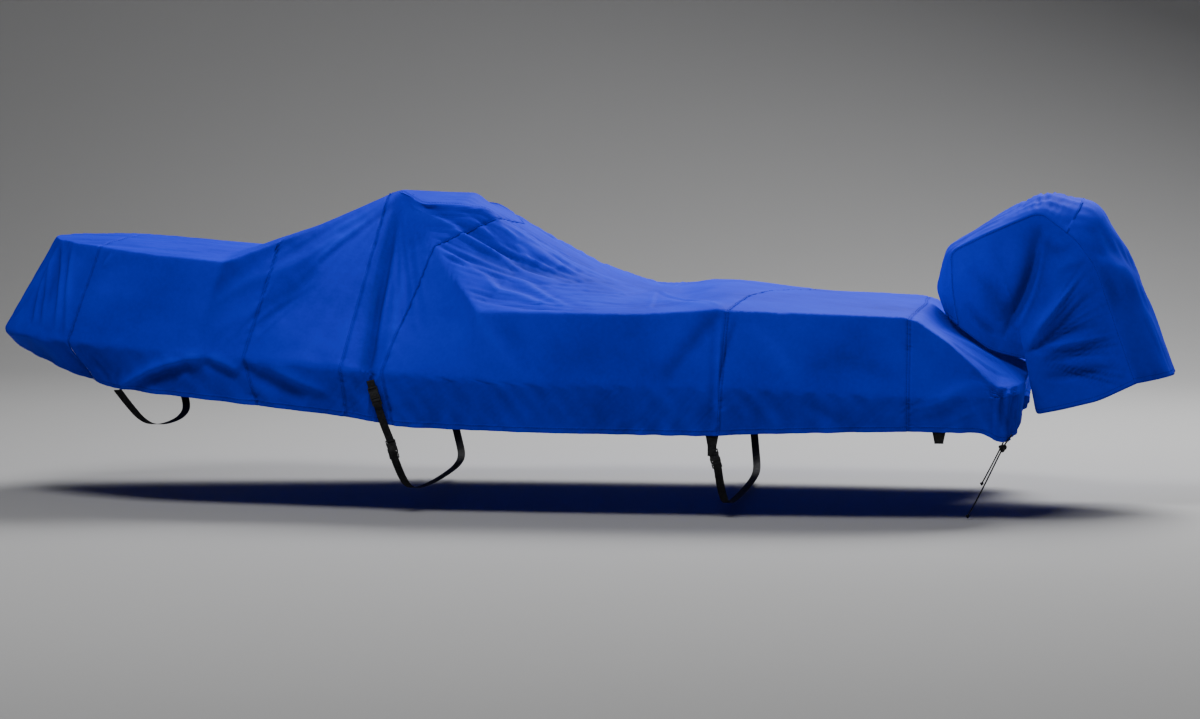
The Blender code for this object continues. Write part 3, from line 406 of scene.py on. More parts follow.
def fold_height(places, normals, route, fold, depth):
    """How far a fold lifts each place; nothing a few widths away from its route."""
    reach = 3.5 * fold.width
    near = np.all((places > route.min(axis=0) - reach) & (places < route.max(axis=0) + reach),
                  axis=1)
    height = np.zeros(len(places))
    if not near.any():
        return height
    runs = np.diff(route, axis=0)
    offsets = places[near][:, None] - route[None, :-1]
    shares = np.clip(np.einsum("ijk,jk->ij", offsets, runs) / (runs ** 2).sum(axis=1), 0.0, 1.0)
    offsets = offsets - shares[..., None] * runs
    gaps = np.linalg.norm(offsets, axis=2)
    rows = np.arange(len(gaps))
    nearest = gaps.argmin(axis=1)
    distance = gaps[rows, nearest] / fold.width
    fade = np.sin(np.pi * np.clip((nearest + shares[rows, nearest]) / len(runs), 0.0, 1.0)) ** 0.6
    power = 1.1 if fold.crisp else 1.8
    shape = np.exp(-distance ** power)
    if fold.lean:
        across = np.cross(runs[nearest], normals[near])
        beside = np.einsum("ij,ij->i", across, offsets[rows, nearest])
        signed = distance * np.sign(beside) * fold.lean
        shape = shape - 0.65 * np.exp(-((signed - 1.7) / 1.1) ** 2)
    height[near] = depth * fade * shape
    return height


def ripples(across, along, wave_across, wave_along, seed):
    """Uneven ripples of about these wavelengths, mostly between -1 and 1."""
    draw = np.random.default_rng(seed)
    total = np.zeros_like(across)
    for _ in range(9):
        turns_across = draw.uniform(0.6, 1.5) / wave_across
        turns_along = draw.uniform(-1.2, 1.2) / wave_along
        start = draw.uniform(0.0, 1.0)
        total += np.sin(2 * np.pi * (across * turns_across + along * turns_along + start))
    return total / 3.0


def creased(ripple):
    """Ripples turned into narrow ridges between wide troughs."""
    return 0.75 - 1.5 * np.sqrt(ripple ** 2 + 0.02)


def band(value, low, high, soft):
    """1 between low and high, easing to 0 over the soft width outside."""
    rise = np.clip((value - low) / soft + 1.0, 0.0, 1.0)
    fall = np.clip((high - value) / soft + 1.0, 0.0, 1.0)
    return (rise * rise * (3 - 2 * rise)) * (fall * fall * (3 - 2 * fall))


def cover_folds():
    """Every fold with its route in space: the table's own and the starboard copies."""
    draw = np.random.default_rng(7)
    for fold in MAIN_FOLDS + FINE_FOLDS:
        route = smooth_route(fold.route, 20)
        yield fold, route, fold.depth
        far = route.copy()
        loose = 0.0 if fold in MAIN_FOLDS else 1.0
        far[:, 0] += FAR_SHIFT + loose * draw.uniform(-0.02, 0.02)
        far[:, 1] = LEVELS - far[:, 1] + loose * draw.uniform(-0.05, 0.05)
        yield (fold._replace(lean=-fold.lean), far,
               fold.depth * (FAR_DEPTH + loose * draw.uniform(-0.25, 0.25)))


def cover_relief(places, normals, gunwale_x, level, girth):
    """Height of the cloth's folds and ripples over the plain cloth."""
    height = np.zeros(len(places))
    for fold, route, depth in cover_folds():
        at, _ = plain_cloth(route[:, 0], route[:, 1], np.zeros(len(route)))
        height += fold_height(places, normals, at, fold, depth)
    x = places[:, 0]
    near_level = np.where(level > MIDDLE, LEVELS - level, level)
    side = np.sign(level - MIDDLE)
    top = band(near_level, 2.12, 4.0, 0.12)
    wall = band(near_level, 1.08, 1.92, 0.10)
    skirt = band(near_level, 0.0, 0.95, 0.06)
    away = places - np.array(PEAK)
    far = np.linalg.norm(away, axis=1)
    clear = band(far, 0.45, 9.0, 0.35)
    # slack all over, longer along the boat
    height += 0.0012 * ripples(girth, x, 0.34, 0.60, 11)
    height += 0.0005 * ripples(girth + 0.6 * x, x, 0.13, 0.30, 12)
    height += 0.0003 * creased(ripples(girth - 0.8 * x, x, 0.05, 0.16, 13))
    # the slope behind the peak hangs in long narrow wrinkles
    slope = clear * top * band(x, 0.25, 0.80, 0.30) * band(near_level, 2.15, 3.6, 0.3)
    height += slope * 0.0050 * creased(ripples(girth, x, 0.110, 1.10, 21))
    height += slope * 0.0022 * creased(ripples(girth - 0.15 * x, x, 0.045, 0.60, 22))
    dip = top * band(x, 0.85, 1.35, 0.30)
    height += dip * 0.0022 * creased(ripples(girth + 0.45 * side * x, x, 0.095, 0.45, 23))
    # the front falls in pleats that spread from the peak
    turn = np.arctan2(away[:, 0], -away[:, 2]) + 0.35 * side
    front = clear * band(near_level, 1.1, 2.05, 0.15) * band(x, -0.75, 0.10, 0.15)
    height += front * 0.0022 * creased(ripples(turn, far, 0.24, 1.60, 31))
    deck = top * band(x, -1.50, -0.60, 0.35)
    height += deck * 0.0030 * creased(ripples(girth + 0.12 * side * x, x, 0.075, 0.80, 32))
    # soft upright pleats round the nose, and gathers at the stern corners
    nose = wall * band(x, -2.1, -1.66, 0.10)
    height += nose * 0.0022 * ripples(gunwale_x, girth, 0.120, 0.90, 41)
    gather = band(near_level, 0.0, 1.75, 0.25) * band(gunwale_x, 2.90, 2.985, 0.04)
    height += gather * 0.0060 * creased(ripples(gunwale_x, girth, 0.032, 0.60, 42))
    stern = top * band(x, 2.66, 2.95, 0.06)
    height += stern * 0.0022 * creased(ripples(girth - 0.4 * side * x, x, 0.070, 0.35, 43))
    # the skirt is slack, with slanting wrinkles and a wavy hem
    height += skirt * 0.0022 * ripples(x - 0.8 * side * girth, girth, 0.16, 0.50, 51)
    height += skirt * 0.0012 * creased(ripples(x + 0.9 * side * girth, girth, 0.07, 0.30, 52))
    hem = band(near_level, 0.0, 0.0, 0.45)
    height += hem * 0.0026 * ripples(x, girth, 0.17, 1.50, 53)
    # puckers where the cloth is pulled over the top edge
    rail = clear * band(near_level, 2.0, 2.0, 0.09) * band(x, -1.6, 2.9, 0.1)
    height += rail * 0.0022 * creased(ripples(x, girth, 0.050, 0.50, 61))
    room = np.clip(end_rounding(gunwale_x) / 0.15, 0.0, 1.0)
    return height * room


# ---------------------------------------------------------------- meshes
def unit(vectors):
    return vectors / np.maximum(np.linalg.norm(vectors, axis=-1, keepdims=True), 1e-12)


def distances(places):
    """Distance gone along a line of places, from 0 at the first."""
    return np.cumsum(np.linalg.norm(np.diff(places, axis=0, prepend=places[:1]), axis=-1), axis=0)


def read_along(at, gone, places):
    """Places at given distances along a line."""
    return np.stack([np.interp(at, gone, places[:, i]) for i in range(3)], axis=-1)


def grid_normals(grid):
    """Unit vectors square to a grid of places, to the side its faces will point."""
    return unit(np.cross(np.gradient(grid, axis=0), np.gradient(grid, axis=1)))


def link_new(name, mesh, material):
    mesh.materials.append(material)
    piece = bpy.data.objects.new(name, mesh)
    bpy.context.scene.collection.objects.link(piece)
    return piece


def grid_faces(grid):
    """The four-sided faces of a grid of places, by number."""
    rows, columns = grid.shape[:2]
    index = np.arange(rows * columns).reshape(rows, columns)
    faces = np.stack([index[:-1, :-1], index[1:, :-1], index[1:, 1:], index[:-1, 1:]], axis=-1)
    return faces.reshape(-1, 4)


def sheet_piece(name, grid, material, thickness, cloth_map, relief=None, offset=-1.0):
    """A grid of frame places as one sheet, thickened with Solidify, with its map in metres."""
    faces = grid_faces(grid)
    mesh = bpy.data.meshes.new(name)
    mesh.from_pydata(grid.reshape(-1, 3).tolist(), [], faces.tolist())
    flat = cloth_map.reshape(-1, 2)[faces.ravel()]
    mesh.uv_layers.new(name="cloth_map").data.foreach_set("uv", flat.ravel())
    if relief is not None:
        raised = mesh.attributes.new("relief", "FLOAT", "POINT")
        raised.data.foreach_set("value", relief.ravel().astype(np.float32))
    mesh.shade_smooth()
    piece = link_new(name, mesh, material)
    solidify = piece.modifiers.new("thickness", "SOLIDIFY")
    solidify.thickness = thickness
    solidify.offset = offset
    return piece


def stitch_mesh(name, lines, pitch, length, width, material):
    """Short raised stitches along lines of places and outward normals."""
    tip = np.array([[-0.5, 0, 0], [0, -0.5, 0], [0, 0, 0.5], [0, 0.5, 0], [0, 0, -0.5], [0.5, 0, 0]])
    ends = ((0, 1, 2), (0, 2, 3), (0, 3, 4), (0, 4, 1), (5, 2, 1), (5, 3, 2), (5, 4, 3), (5, 1, 4))
    corners = []
    faces = []
    for places, normals in lines:
        gone = distances(places)
        at = np.arange(pitch / 2, gone[-1], pitch)
        if len(at) < 2:
            continue
        middle = read_along(at, gone, places)
        square = unit(read_along(at, gone, normals))
        along = unit(np.gradient(middle, axis=0))
        across = np.cross(square, along)
        shape = (along[:, None] * tip[None, :, :1] * length
                 + across[:, None] * tip[None, :, 1:2] * width
                 + square[:, None] * tip[None, :, 2:] * width)
        shape += (middle + square * width * 0.15)[:, None]
        for stitch in shape:
            start = len(corners)
            corners.extend(stitch.tolist())
            faces.extend(tuple(start + corner for corner in face) for face in ends)
    mesh = bpy.data.meshes.new(name)
    mesh.from_pydata(corners, [], faces)
    return link_new(name, mesh, material)


# ---------------------------------------------------------------- panels of the cover
SEAM_ROWS = (0.0, 0.003, 0.006, 0.009, 0.013, 0.018, 0.026)   # rows beside a seam, in metres
LAP_ROWS = (0.003, 0.007)     # rows past the seam, where a panel laps its neighbour
HEM_COLUMNS = (0.0, 0.0025, 0.013, 0.0235, 0.0262, 0.029, 0.033)
CROSS_SAMPLES = 90            # places at which a panel's lengths are measured
LEVEL_SAMPLES = 33            # levels at which they are measured
LEVEL_GIRTHS = (0.23, 0.62, 0.46, 0.38)       # rough lengths from each level to the next
SEAM_STITCH = 0.006           # distance of a seam's stitches from its edge
TROUGH_DEPTH = 0.0060         # the dip that a tight seam makes in the cloth
TROUGH_WIDTH = 0.009


def crossing_x(name):
    return next(crossing.gunwale for crossing in CROSSINGS if crossing.name == name)


def seam_spread(length, start_seam, end_seam, step):
    """Distances along a panel: close rows at its seams and even ones between."""
    near = np.array(SEAM_ROWS) if start_seam else np.array([0.0])
    far = length - np.array(SEAM_ROWS)[::-1] if end_seam else np.array([length])
    count = max(2, int(math.ceil((far[0] - near[-1]) / step)))
    between = np.linspace(near[-1], far[0], count + 1)[1:-1]
    return np.concatenate([near, between, far])


def panel_levels(panel, step):
    """The panel's columns: levels, their shift in metres and whether they hug the hem."""
    columns = []
    port_hem = panel.low == 0
    starboard_hem = panel.high == LEVELS
    if port_hem:
        columns += [("hem", 0, shift) for shift in HEM_COLUMNS]
    else:
        columns += [("seam", panel.low, shift) for shift in SEAM_ROWS]
    for level in range(LEVELS):
        count = max(3, int(LEVEL_GIRTHS[min(level, LEVELS - 1 - level)] / step))
        for i in range(1, count + 1):
            at = level + i / count
            if level == 0 and port_hem and i < count:
                columns.append(("skirt", 0, i / count))
            elif level == LEVELS - 1 and starboard_hem and i < count:
                columns.append(("skirt", LEVELS, 1.0 - i / count))
            elif panel.low + 0.15 < at < panel.high - 0.15:
                columns.append(("level", at, 0.0))
    if starboard_hem:
        columns += [("hem", LEVELS, shift) for shift in HEM_COLUMNS[::-1]]
    else:
        columns += [("seam", panel.high, shift) for shift in SEAM_ROWS[::-1]]
    return columns


def panel_grid(panel, step):
    """Crosswise line, level and shift at each row and column of a panel, and its rows' places."""
    start, end = crossing_x(panel.start), crossing_x(panel.end)
    seams = (panel.start != "stem", panel.end != "transom")
    columns = panel_levels(panel, step)
    share = np.linspace(0.0, 1.0, CROSS_SAMPLES)
    if not seams[0]:
        share = share ** 2
    if not seams[1]:
        share = 1.0 - (1.0 - share) ** 2.4
    sample = start + (end - start) * share
    measure_levels = np.linspace(max(panel.low, 0.02), min(panel.high, LEVELS - 0.02),
                                 LEVEL_SAMPLES)
    wide, tall = np.meshgrid(sample, measure_levels, indexing="ij")
    places, _ = plain_cloth(wide.ravel(), tall.ravel(), np.zeros(wide.size))
    steps = np.linalg.norm(np.diff(places.reshape(wide.shape + (3,)), axis=0), axis=2)
    gone = np.concatenate([np.zeros((1, len(measure_levels))), np.cumsum(steps, axis=0)])
    longest = gone[-1].max()
    rows = len(seam_spread(longest, *seams, step))
    lap = LAP_ROWS if seams[1] else ()
    first = len(SEAM_ROWS) if seams[0] else 1
    last = len(SEAM_ROWS) if seams[1] else 1
    gunwale_x = np.zeros((rows + len(lap), len(columns)))
    beside_seam = np.zeros((rows + len(lap), len(columns)))
    for j, (_, level, _) in enumerate(columns):
        at = np.clip(level, measure_levels[0], measure_levels[-1])
        path = np.array([np.interp(at, measure_levels, row) for row in gone])
        spread = np.concatenate([
            np.array(SEAM_ROWS)[:first] if seams[0] else [0.0],
            np.linspace(SEAM_ROWS[-1] if seams[0] else 0.0,
                        path[-1] - (SEAM_ROWS[-1] if seams[1] else 0.0),
                        rows - first - last + 2)[1:-1],
            path[-1] - np.array(SEAM_ROWS)[:last][::-1] if seams[1] else [path[-1]]])
        gunwale_x[:rows, j] = np.interp(spread, path, sample)
        pace = (sample[-1] - sample[-2]) / max(path[-1] - path[-2], 1e-6)
        for k, past in enumerate(lap):
            gunwale_x[rows + k, j] = end + past * pace
        beside_seam[:rows, j] = path[-1] - spread
        beside_seam[rows:, j] = [-past for past in lap]
    return gunwale_x, beside_seam, columns, seams


def make_panel(panel, sizes, material):
    """One cloth panel: its grid, folds, lap over the next panel, hem band and map."""
    gunwale_x, beside_seam, columns, seams = panel_grid(panel, sizes.grid_step)
    rows = len(gunwale_x)
    level = np.zeros_like(gunwale_x)
    shift = np.zeros_like(gunwale_x)
    from_hem = np.full_like(gunwale_x, 1.0)
    for j, (kind, at, value) in enumerate(columns):
        level[:, j] = at
        inward = 1.0 if at <= MIDDLE else -1.0
        if kind == "skirt":
            hem, _ = plain_cloth(gunwale_x[:, j], np.full(rows, float(at)), np.zeros(rows))
            rail, _ = plain_cloth(gunwale_x[:, j], np.full(rows, at + inward), np.zeros(rows))
            run = np.linalg.norm(rail - hem, axis=1)
            shift[:, j] = inward * (HEM_COLUMNS[-1] + (run - HEM_COLUMNS[-1]) * value)
        elif kind == "hem":
            shift[:, j] = inward * value
            from_hem[:, j] = value
        elif kind == "seam":
            shift[:, j] = value * (1.0 if at == panel.low else -1.0)
    places, girth = plain_cloth(gunwale_x.ravel(), level.ravel(), shift.ravel())
    grid = places.reshape(rows, -1, 3)
    girth = girth.reshape(rows, -1)
    normals = grid_normals(grid)
    height = cover_relief(places, normals.reshape(-1, 3), gunwale_x.ravel(),
                          level.ravel() + shift.ravel() / 0.4, girth.ravel()).reshape(rows, -1)
    height += seam_relief(girth, grid[..., 0], beside_seam, seams, sizes)
    relief = height.copy()
    height += np.where(from_hem < sizes.hem_width - 0.0015, sizes.cloth_thickness, 0.0)
    height += np.where(np.abs(from_hem - sizes.hem_stitch) < 0.001, -0.0008, 0.0)
    grid = grid + normals * height[..., None]
    if seams[1]:
        lifted = np.clip((sizes.lap_width - beside_seam) / 0.004, 0.0, 1.0)
        grid = grid + normals * (lifted * (sizes.cloth_thickness + 0.0016))[..., None]
    cloth_map = np.stack([distances(grid) + crossing_x(panel.start), girth], axis=-1)
    piece = sheet_piece(panel.name + "_cloth", to_frame(grid), material, sizes.cloth_thickness,
                        cloth_map, relief)
    stitches = panel_stitches(grid, beside_seam, columns, seams, sizes)
    return piece, stitches


def seam_relief(girth, x, beside_seam, seams, sizes):
    """Puckers on both sides of a panel's seams, and a shallow trough along them."""
    height = np.zeros_like(girth)
    total = beside_seam.max(axis=0, keepdims=True)
    for seam, away in zip(seams[::-1], (beside_seam, total - beside_seam)):
        if seam:
            close = np.exp(-(np.abs(away) / 0.022) ** 1.5)
            height += close * sizes.pucker * creased(ripples(girth.ravel(), x.ravel(), 0.038, 0.6,
                                                             71)).reshape(girth.shape)
            height -= TROUGH_DEPTH * np.exp(-(away / TROUGH_WIDTH) ** 2)
    return height


def panel_stitches(grid, beside_seam, columns, seams, sizes):
    """Lines of places and normals for the rows of stitches on a panel."""
    normals = grid_normals(grid)
    lines = []
    rows = len(grid)
    if seams[1]:
        for past in (-LAP_ROWS[0], SEAM_STITCH):
            row = int(np.abs(beside_seam[:, 0] - past).argmin())
            lines.append((to_frame(grid[row]), normals[row]))
    last = rows - (len(LAP_ROWS) if seams[1] else 0)
    for j, (kind, _, value) in enumerate(columns):
        sewn_at = {"hem": sizes.hem_stitch, "seam": SEAM_STITCH}
        if kind in sewn_at and abs(value - sewn_at[kind]) < 0.001:
            lines.append((to_frame(grid[:last, j]), normals[:last, j]))
    return lines


# ---------------------------------------------------------------- the hood
def outline_places(rows, at):
    index = np.arange(len(rows), dtype=float)
    reads = [softened(index, column(rows, name), at, HOOD_SOFTNESS) for name in Outline._fields[1:]]
    seam = np.stack([reads[0], -reads[1], reads[2]], axis=-1)
    middle = np.stack([reads[3], np.zeros_like(at), reads[4]], axis=-1)
    return seam, middle


def even_rows(curve, step):
    """Shares of a finely sampled curve at even distances of about the step."""
    gone = distances(curve)
    count = max(2, int(gone[-1] / step))
    return np.interp(np.linspace(0.0, gone[-1], count + 1), gone, np.linspace(0, 1, len(curve)))


def hood_side_grid(side, step):
    """One side of the hood, blended between its outlines, with its folds."""
    last = len(HOOD) - 1
    fine = np.linspace(0.0, 1.0, 160)
    top_span = HOOD_TOP_END - HOOD_TOP_START
    hem_curve = outline_places(HOOD_HEM, fine * (len(HOOD_HEM) - 1))[0]
    along = even_rows(hem_curve, step)
    rear_curve = outline_places(HOOD, last - fine * (last - HOOD_TOP_END))[0]
    up = even_rows(rear_curve, step)
    hem = outline_places(HOOD_HEM, along * (len(HOOD_HEM) - 1))[0]
    top = outline_places(HOOD, HOOD_TOP_START + along * top_span)[0]
    front = outline_places(HOOD, up * HOOD_TOP_START)[0]
    rear = outline_places(HOOD, last - up * (last - HOOD_TOP_END))[0]
    u = along[:, None, None]
    v = up[None, :, None]
    grid = (1 - v) * hem[:, None] + v * top[:, None] + (1 - u) * front[None] + u * rear[None]
    grid = grid - ((1 - u) * (1 - v) * hem[0] + u * (1 - v) * hem[-1]
                   + (1 - u) * v * top[0] + u * v * top[-1])
    swell = HOOD_BULGE * np.sin(np.pi * u[..., 0]) * np.sin(np.pi * v[..., 0])
    flat = grid.reshape(-1, 3) * np.array([1.0, 0.0, 1.0])
    facing = np.tile([0.0, -1.0, 0.0], (len(flat), 1))
    inside = np.clip(6.0 * u[..., 0] * (1 - u[..., 0]), 0, 1) * np.clip(9.0 * (1 - v[..., 0]), 0, 1)
    relief = np.zeros(len(flat))
    for fold in HOOD_FOLDS:
        route = smooth_route([(x, 0.0, z) for x, z in fold.route], 20)
        shift = 0.0 if side < 0 else 0.02
        relief += fold_height(flat + np.array([shift, 0.0, 0.0]), facing, route, fold,
                              fold.depth * HOOD_FOLD_SHARE)
    away = flat - np.array(HOOD_PINCH)
    far = np.linalg.norm(away, axis=1)
    turn = np.arctan2(away[:, 2], away[:, 0])
    spread = band(far, 0.10, 0.45, 0.15) * band(turn, -0.25, 0.9, 0.2)
    relief += spread * 0.0065 * creased(ripples(turn, far, 0.16, 0.8, 81 + side))
    relief += 0.0012 * ripples(flat[:, 0], flat[:, 2], 0.16, 0.30, 83)
    relief += 0.0004 * creased(ripples(flat[:, 0] + flat[:, 2], flat[:, 0], 0.06, 0.20, 84))
    relief = relief.reshape(swell.shape) * inside
    grid[..., 1] = grid[..., 1] - swell - relief
    cloth_map = np.stack([grid[..., 0], grid[..., 2]], axis=-1)
    if side > 0:
        grid[..., 1] *= -1.0
        grid, cloth_map, relief = grid[::-1], cloth_map[::-1], relief[::-1]
    return grid, cloth_map, relief


def tree_of(grid):
    return BVHTree.FromPolygons([Vector(place) for place in grid.reshape(-1, 3)],
                                grid_faces(grid).tolist())


def hood_band_grid(start, end, lap_end, sides, step, sizes):
    """A front or rear piece of the hood, whose edges lap a little way over the sides."""
    fine = np.linspace(start, end, 200)
    middle_fine = outline_places(HOOD, fine)[1]
    at = np.interp(even_rows(middle_fine, step), np.linspace(0, 1, 200), fine)
    if lap_end:
        at = np.append(at, [at[-1] + 0.02, at[-1] + 0.05])
    seam, middle = outline_places(HOOD, at)
    across = np.linspace(-1.0, 1.0, int(HOOD_GIRTH / step) + 1)
    fullness = np.interp(at, *np.transpose(HOOD_FULLNESS))[:, None]
    crown = 1.0 - np.abs(across)[None] ** fullness
    grid = seam[:, None] * (1.0 - crown)[..., None] + middle[:, None] * crown[..., None]
    grid[..., 1] = -across[None] * seam[:, None, 1]
    normals = grid_normals(grid)
    girth = across[None] * np.abs(seam[:, None, 1])
    length = np.broadcast_to(distances(middle)[:, None], girth.shape)
    inside = np.clip(3.0 * crown, 0.0, 1.0)
    places = (girth.ravel(), length.ravel())
    relief = 0.0030 * creased(ripples(*places, 0.11, 0.35, 91)).reshape(girth.shape)
    relief += 0.0040 * ripples(*places, 0.22, 0.30, 92).reshape(girth.shape)
    puff = np.exp(-((at[:, None] - HOOD_TOP_END) / 0.45) ** 2)
    pleats = creased(ripples(places[1], places[0], 0.09, 0.20, 93))
    relief += puff * 0.007 * pleats.reshape(girth.shape)
    relief = relief * inside
    grid = grid + normals * relief[..., None]
    grid[:, 0, 1] -= 0.0019
    grid[:, -1, 1] += 0.0019
    flaps = []
    for side, tree in zip((-1, 1), sides):
        edge = grid[:, 0 if side < 0 else -1]
        along = unit(np.gradient(edge, axis=0))
        inward = np.cross(along, np.array([0.0, -1.0, 0.0]))
        inward *= np.sign(np.einsum("ij,ij->i", inward, np.array(HOOD_HEART) - edge))[:, None]
        rows = []
        for reach in HOOD_FLAPS:
            row = []
            for place in edge + inward * reach:
                hit, square, _, _ = tree.find_nearest(Vector(place))
                square = square if square.y * side > 0 else -square
                row.append(hit + square * (sizes.cloth_thickness + 0.0009))
            rows.append(np.array(row))
        flaps.append(np.stack(rows, axis=1))
    port, starboard = flaps
    full = np.concatenate([port[:, ::-1], grid, starboard], axis=1)
    lap = np.array([HOOD_FLAPS])
    wide = np.concatenate([girth[:, :1] - lap[:, ::-1], girth, girth[:, -1:] + lap], axis=1)
    lengths = np.concatenate([length[:, :3], length, length[:, :3]], axis=1)
    reliefs = np.concatenate([relief[:, :3] * 0, relief, relief[:, :3] * 0], axis=1)
    if lap_end:
        lifted = np.array([0.0] * (len(at) - 3) + [1.0, 1.0, 1.0])
        full = full + grid_normals(full) * (lifted * 0.0016)[:, None, None]
    return full, np.stack([lengths, wide], axis=-1), reliefs


# ---------------------------------------------------------------- materials
def linear(hex_colour):
    """An sRGB hex colour as linear red, green, blue and alpha."""
    channels = [int(hex_colour[i:i + 2], 16) / 255 for i in (1, 3, 5)]
    return tuple(c / 12.92 if c <= 0.04045 else ((c + 0.055) / 1.055) ** 2.4
                 for c in channels) + (1.0,)


def add_node(tree, kind, inputs=None, **settings):
    """Adds a node; inputs holds values or the sockets to link, by socket name or number."""
    node = tree.nodes.new(kind)
    for name, value in settings.items():
        setattr(node, name, value)
    for name, value in (inputs or {}).items():
        socket = node.inputs[name]
        if isinstance(value, bpy.types.NodeSocket):
            tree.links.new(value, socket)
        else:
            socket.default_value = value
    return node


def new_material(name, colour, roughness):
    material = bpy.data.materials.new(name)
    material.use_nodes = True
    material.diffuse_color = colour
    shader = material.node_tree.nodes["Principled BSDF"]
    shader.inputs["Base Color"].default_value = colour
    shader.inputs["Roughness"].default_value = roughness
    return material, material.node_tree, shader


def coated_polyester(colours):
    """Solution-dyed polyester, plain woven and coated: a dull sheen, even colour with faint
    mottling, a fine weave, and fold crests drawn lighter and troughs darker, partly as wear and
    dust and partly as painted highlight on the crests and painted shade in the troughs."""
    material, tree, shader = new_material("coated polyester, royal blue",
                                          linear(colours.cloth), 0.80)
    place = add_node(tree, "ShaderNodeTexCoord")
    cloth_map = add_node(tree, "ShaderNodeUVMap", uv_map="cloth_map")
    mottle = add_node(tree, "ShaderNodeTexNoise", {"Vector": place.outputs["Object"], "Scale": 2.6,
                                                   "Detail": 5.0, "Roughness": 0.6})
    fine = add_node(tree, "ShaderNodeTexNoise", {"Vector": place.outputs["Object"], "Scale": 60.0,
                                                 "Detail": 3.0})
    # the fold relief makes crests lighter and troughs darker: partly wear and dust, partly painted
    # highlight on the crests and painted shade in the troughs
    raised = add_node(tree, "ShaderNodeAttribute", attribute_name="relief")
    crest = add_node(tree, "ShaderNodeMapRange",
                     {"Value": raised.outputs["Fac"], "From Min": -0.016, "From Max": 0.016,
                      "To Min": 0.0, "To Max": 1.0})
    tone_and_fold_shade = add_node(tree, "ShaderNodeMath", {0: mottle.outputs["Fac"], 1: 0.55},
                    operation="MULTIPLY")
    tone_and_fold_shade = add_node(tree, "ShaderNodeMath", {0: fine.outputs["Fac"], 1: 0.15, 2: tone_and_fold_shade.outputs[0]},
                    operation="MULTIPLY_ADD")
    tone_and_fold_shade = add_node(tree, "ShaderNodeMath", {0: crest.outputs[0], 1: 0.45, 2: tone_and_fold_shade.outputs[0]},
                    operation="MULTIPLY_ADD")
    ramp = add_node(tree, "ShaderNodeValToRGB", {"Fac": tone_and_fold_shade.outputs[0]})
    ramp.color_ramp.elements[0].position = 0.28
    ramp.color_ramp.elements[0].color = linear(colours.cloth_shade)
    ramp.color_ramp.elements[1].position = 0.82
    ramp.color_ramp.elements[1].color = linear(colours.cloth_light)
    middle = ramp.color_ramp.elements.new(0.56)
    middle.color = linear(colours.cloth)
    tree.links.new(ramp.outputs["Color"], shader.inputs["Base Color"])
    rough = add_node(tree, "ShaderNodeMapRange", {"Value": fine.outputs["Fac"], "To Min": 0.70,
                                                  "To Max": 0.85})
    tree.links.new(rough.outputs[0], shader.inputs["Roughness"])
    # threads are about 0.5 mm apart, too fine to show, so the weave is drawn at 4 mm
    weave = woven_height(tree, cloth_map.outputs["UV"], 0.004, 0.004)
    crumple = add_node(tree, "ShaderNodeTexNoise", {"Vector": place.outputs["Object"], "Scale": 22.0,
                                                    "Detail": 4.0, "Roughness": 0.55})
    bump = add_node(tree, "ShaderNodeBump", {"Height": crumple.outputs["Fac"], "Strength": 0.35,
                                             "Distance": 0.0022})
    bump = add_node(tree, "ShaderNodeBump", {"Height": weave, "Strength": 0.35, "Distance": 0.0003,
                                             "Normal": bump.outputs["Normal"]})
    tree.links.new(bump.outputs["Normal"], shader.inputs["Normal"])
    shader.inputs["Specular IOR Level"].default_value = 0.12
    return material


def woven_height(tree, vector, pitch_along, pitch_across):
    """Crossed threads as a height: one wave along the cloth and one across it."""
    waves = []
    for direction, pitch in (("X", pitch_along), ("Y", pitch_across)):
        wave = add_node(tree, "ShaderNodeTexWave",
                        {"Vector": vector, "Scale": 2 * math.pi / (20 * pitch), "Distortion": 0.4,
                         "Detail": 1.0},
                        wave_type="BANDS", bands_direction=direction)
        waves.append(wave.outputs["Fac"])
    both = add_node(tree, "ShaderNodeMath", {0: waves[0], 1: waves[1]}, operation="MULTIPLY")
    return both.outputs[0]


def woven_webbing(colours):
    """Black polypropylene webbing, woven flat with ribs across it: matt, with grey wear."""
    material, tree, shader = new_material("polypropylene webbing, black",
                                          linear(colours.webbing), 0.78)
    cloth_map = add_node(tree, "ShaderNodeUVMap", uv_map="cloth_map")
    place = add_node(tree, "ShaderNodeTexCoord")
    worn = add_node(tree, "ShaderNodeTexNoise", {"Vector": place.outputs["Object"], "Scale": 70.0,
                                                 "Detail": 4.0})
    ramp = add_node(tree, "ShaderNodeValToRGB", {"Fac": worn.outputs["Fac"]})
    ramp.color_ramp.elements[0].position = 0.40
    ramp.color_ramp.elements[0].color = linear(colours.webbing)
    ramp.color_ramp.elements[1].position = 0.85
    ramp.color_ramp.elements[1].color = linear(colours.webbing_worn)
    tree.links.new(ramp.outputs["Color"], shader.inputs["Base Color"])
    # ribs every 2.5 mm along the strap and warp cords every 3.5 mm across it
    ribs = woven_height(tree, cloth_map.outputs["UV"], 0.0025, 0.0035)
    bump = add_node(tree, "ShaderNodeBump", {"Height": ribs, "Strength": 0.8, "Distance": 0.0006})
    tree.links.new(bump.outputs["Normal"], shader.inputs["Normal"])
    shader.inputs["Specular IOR Level"].default_value = 0.3
    return material


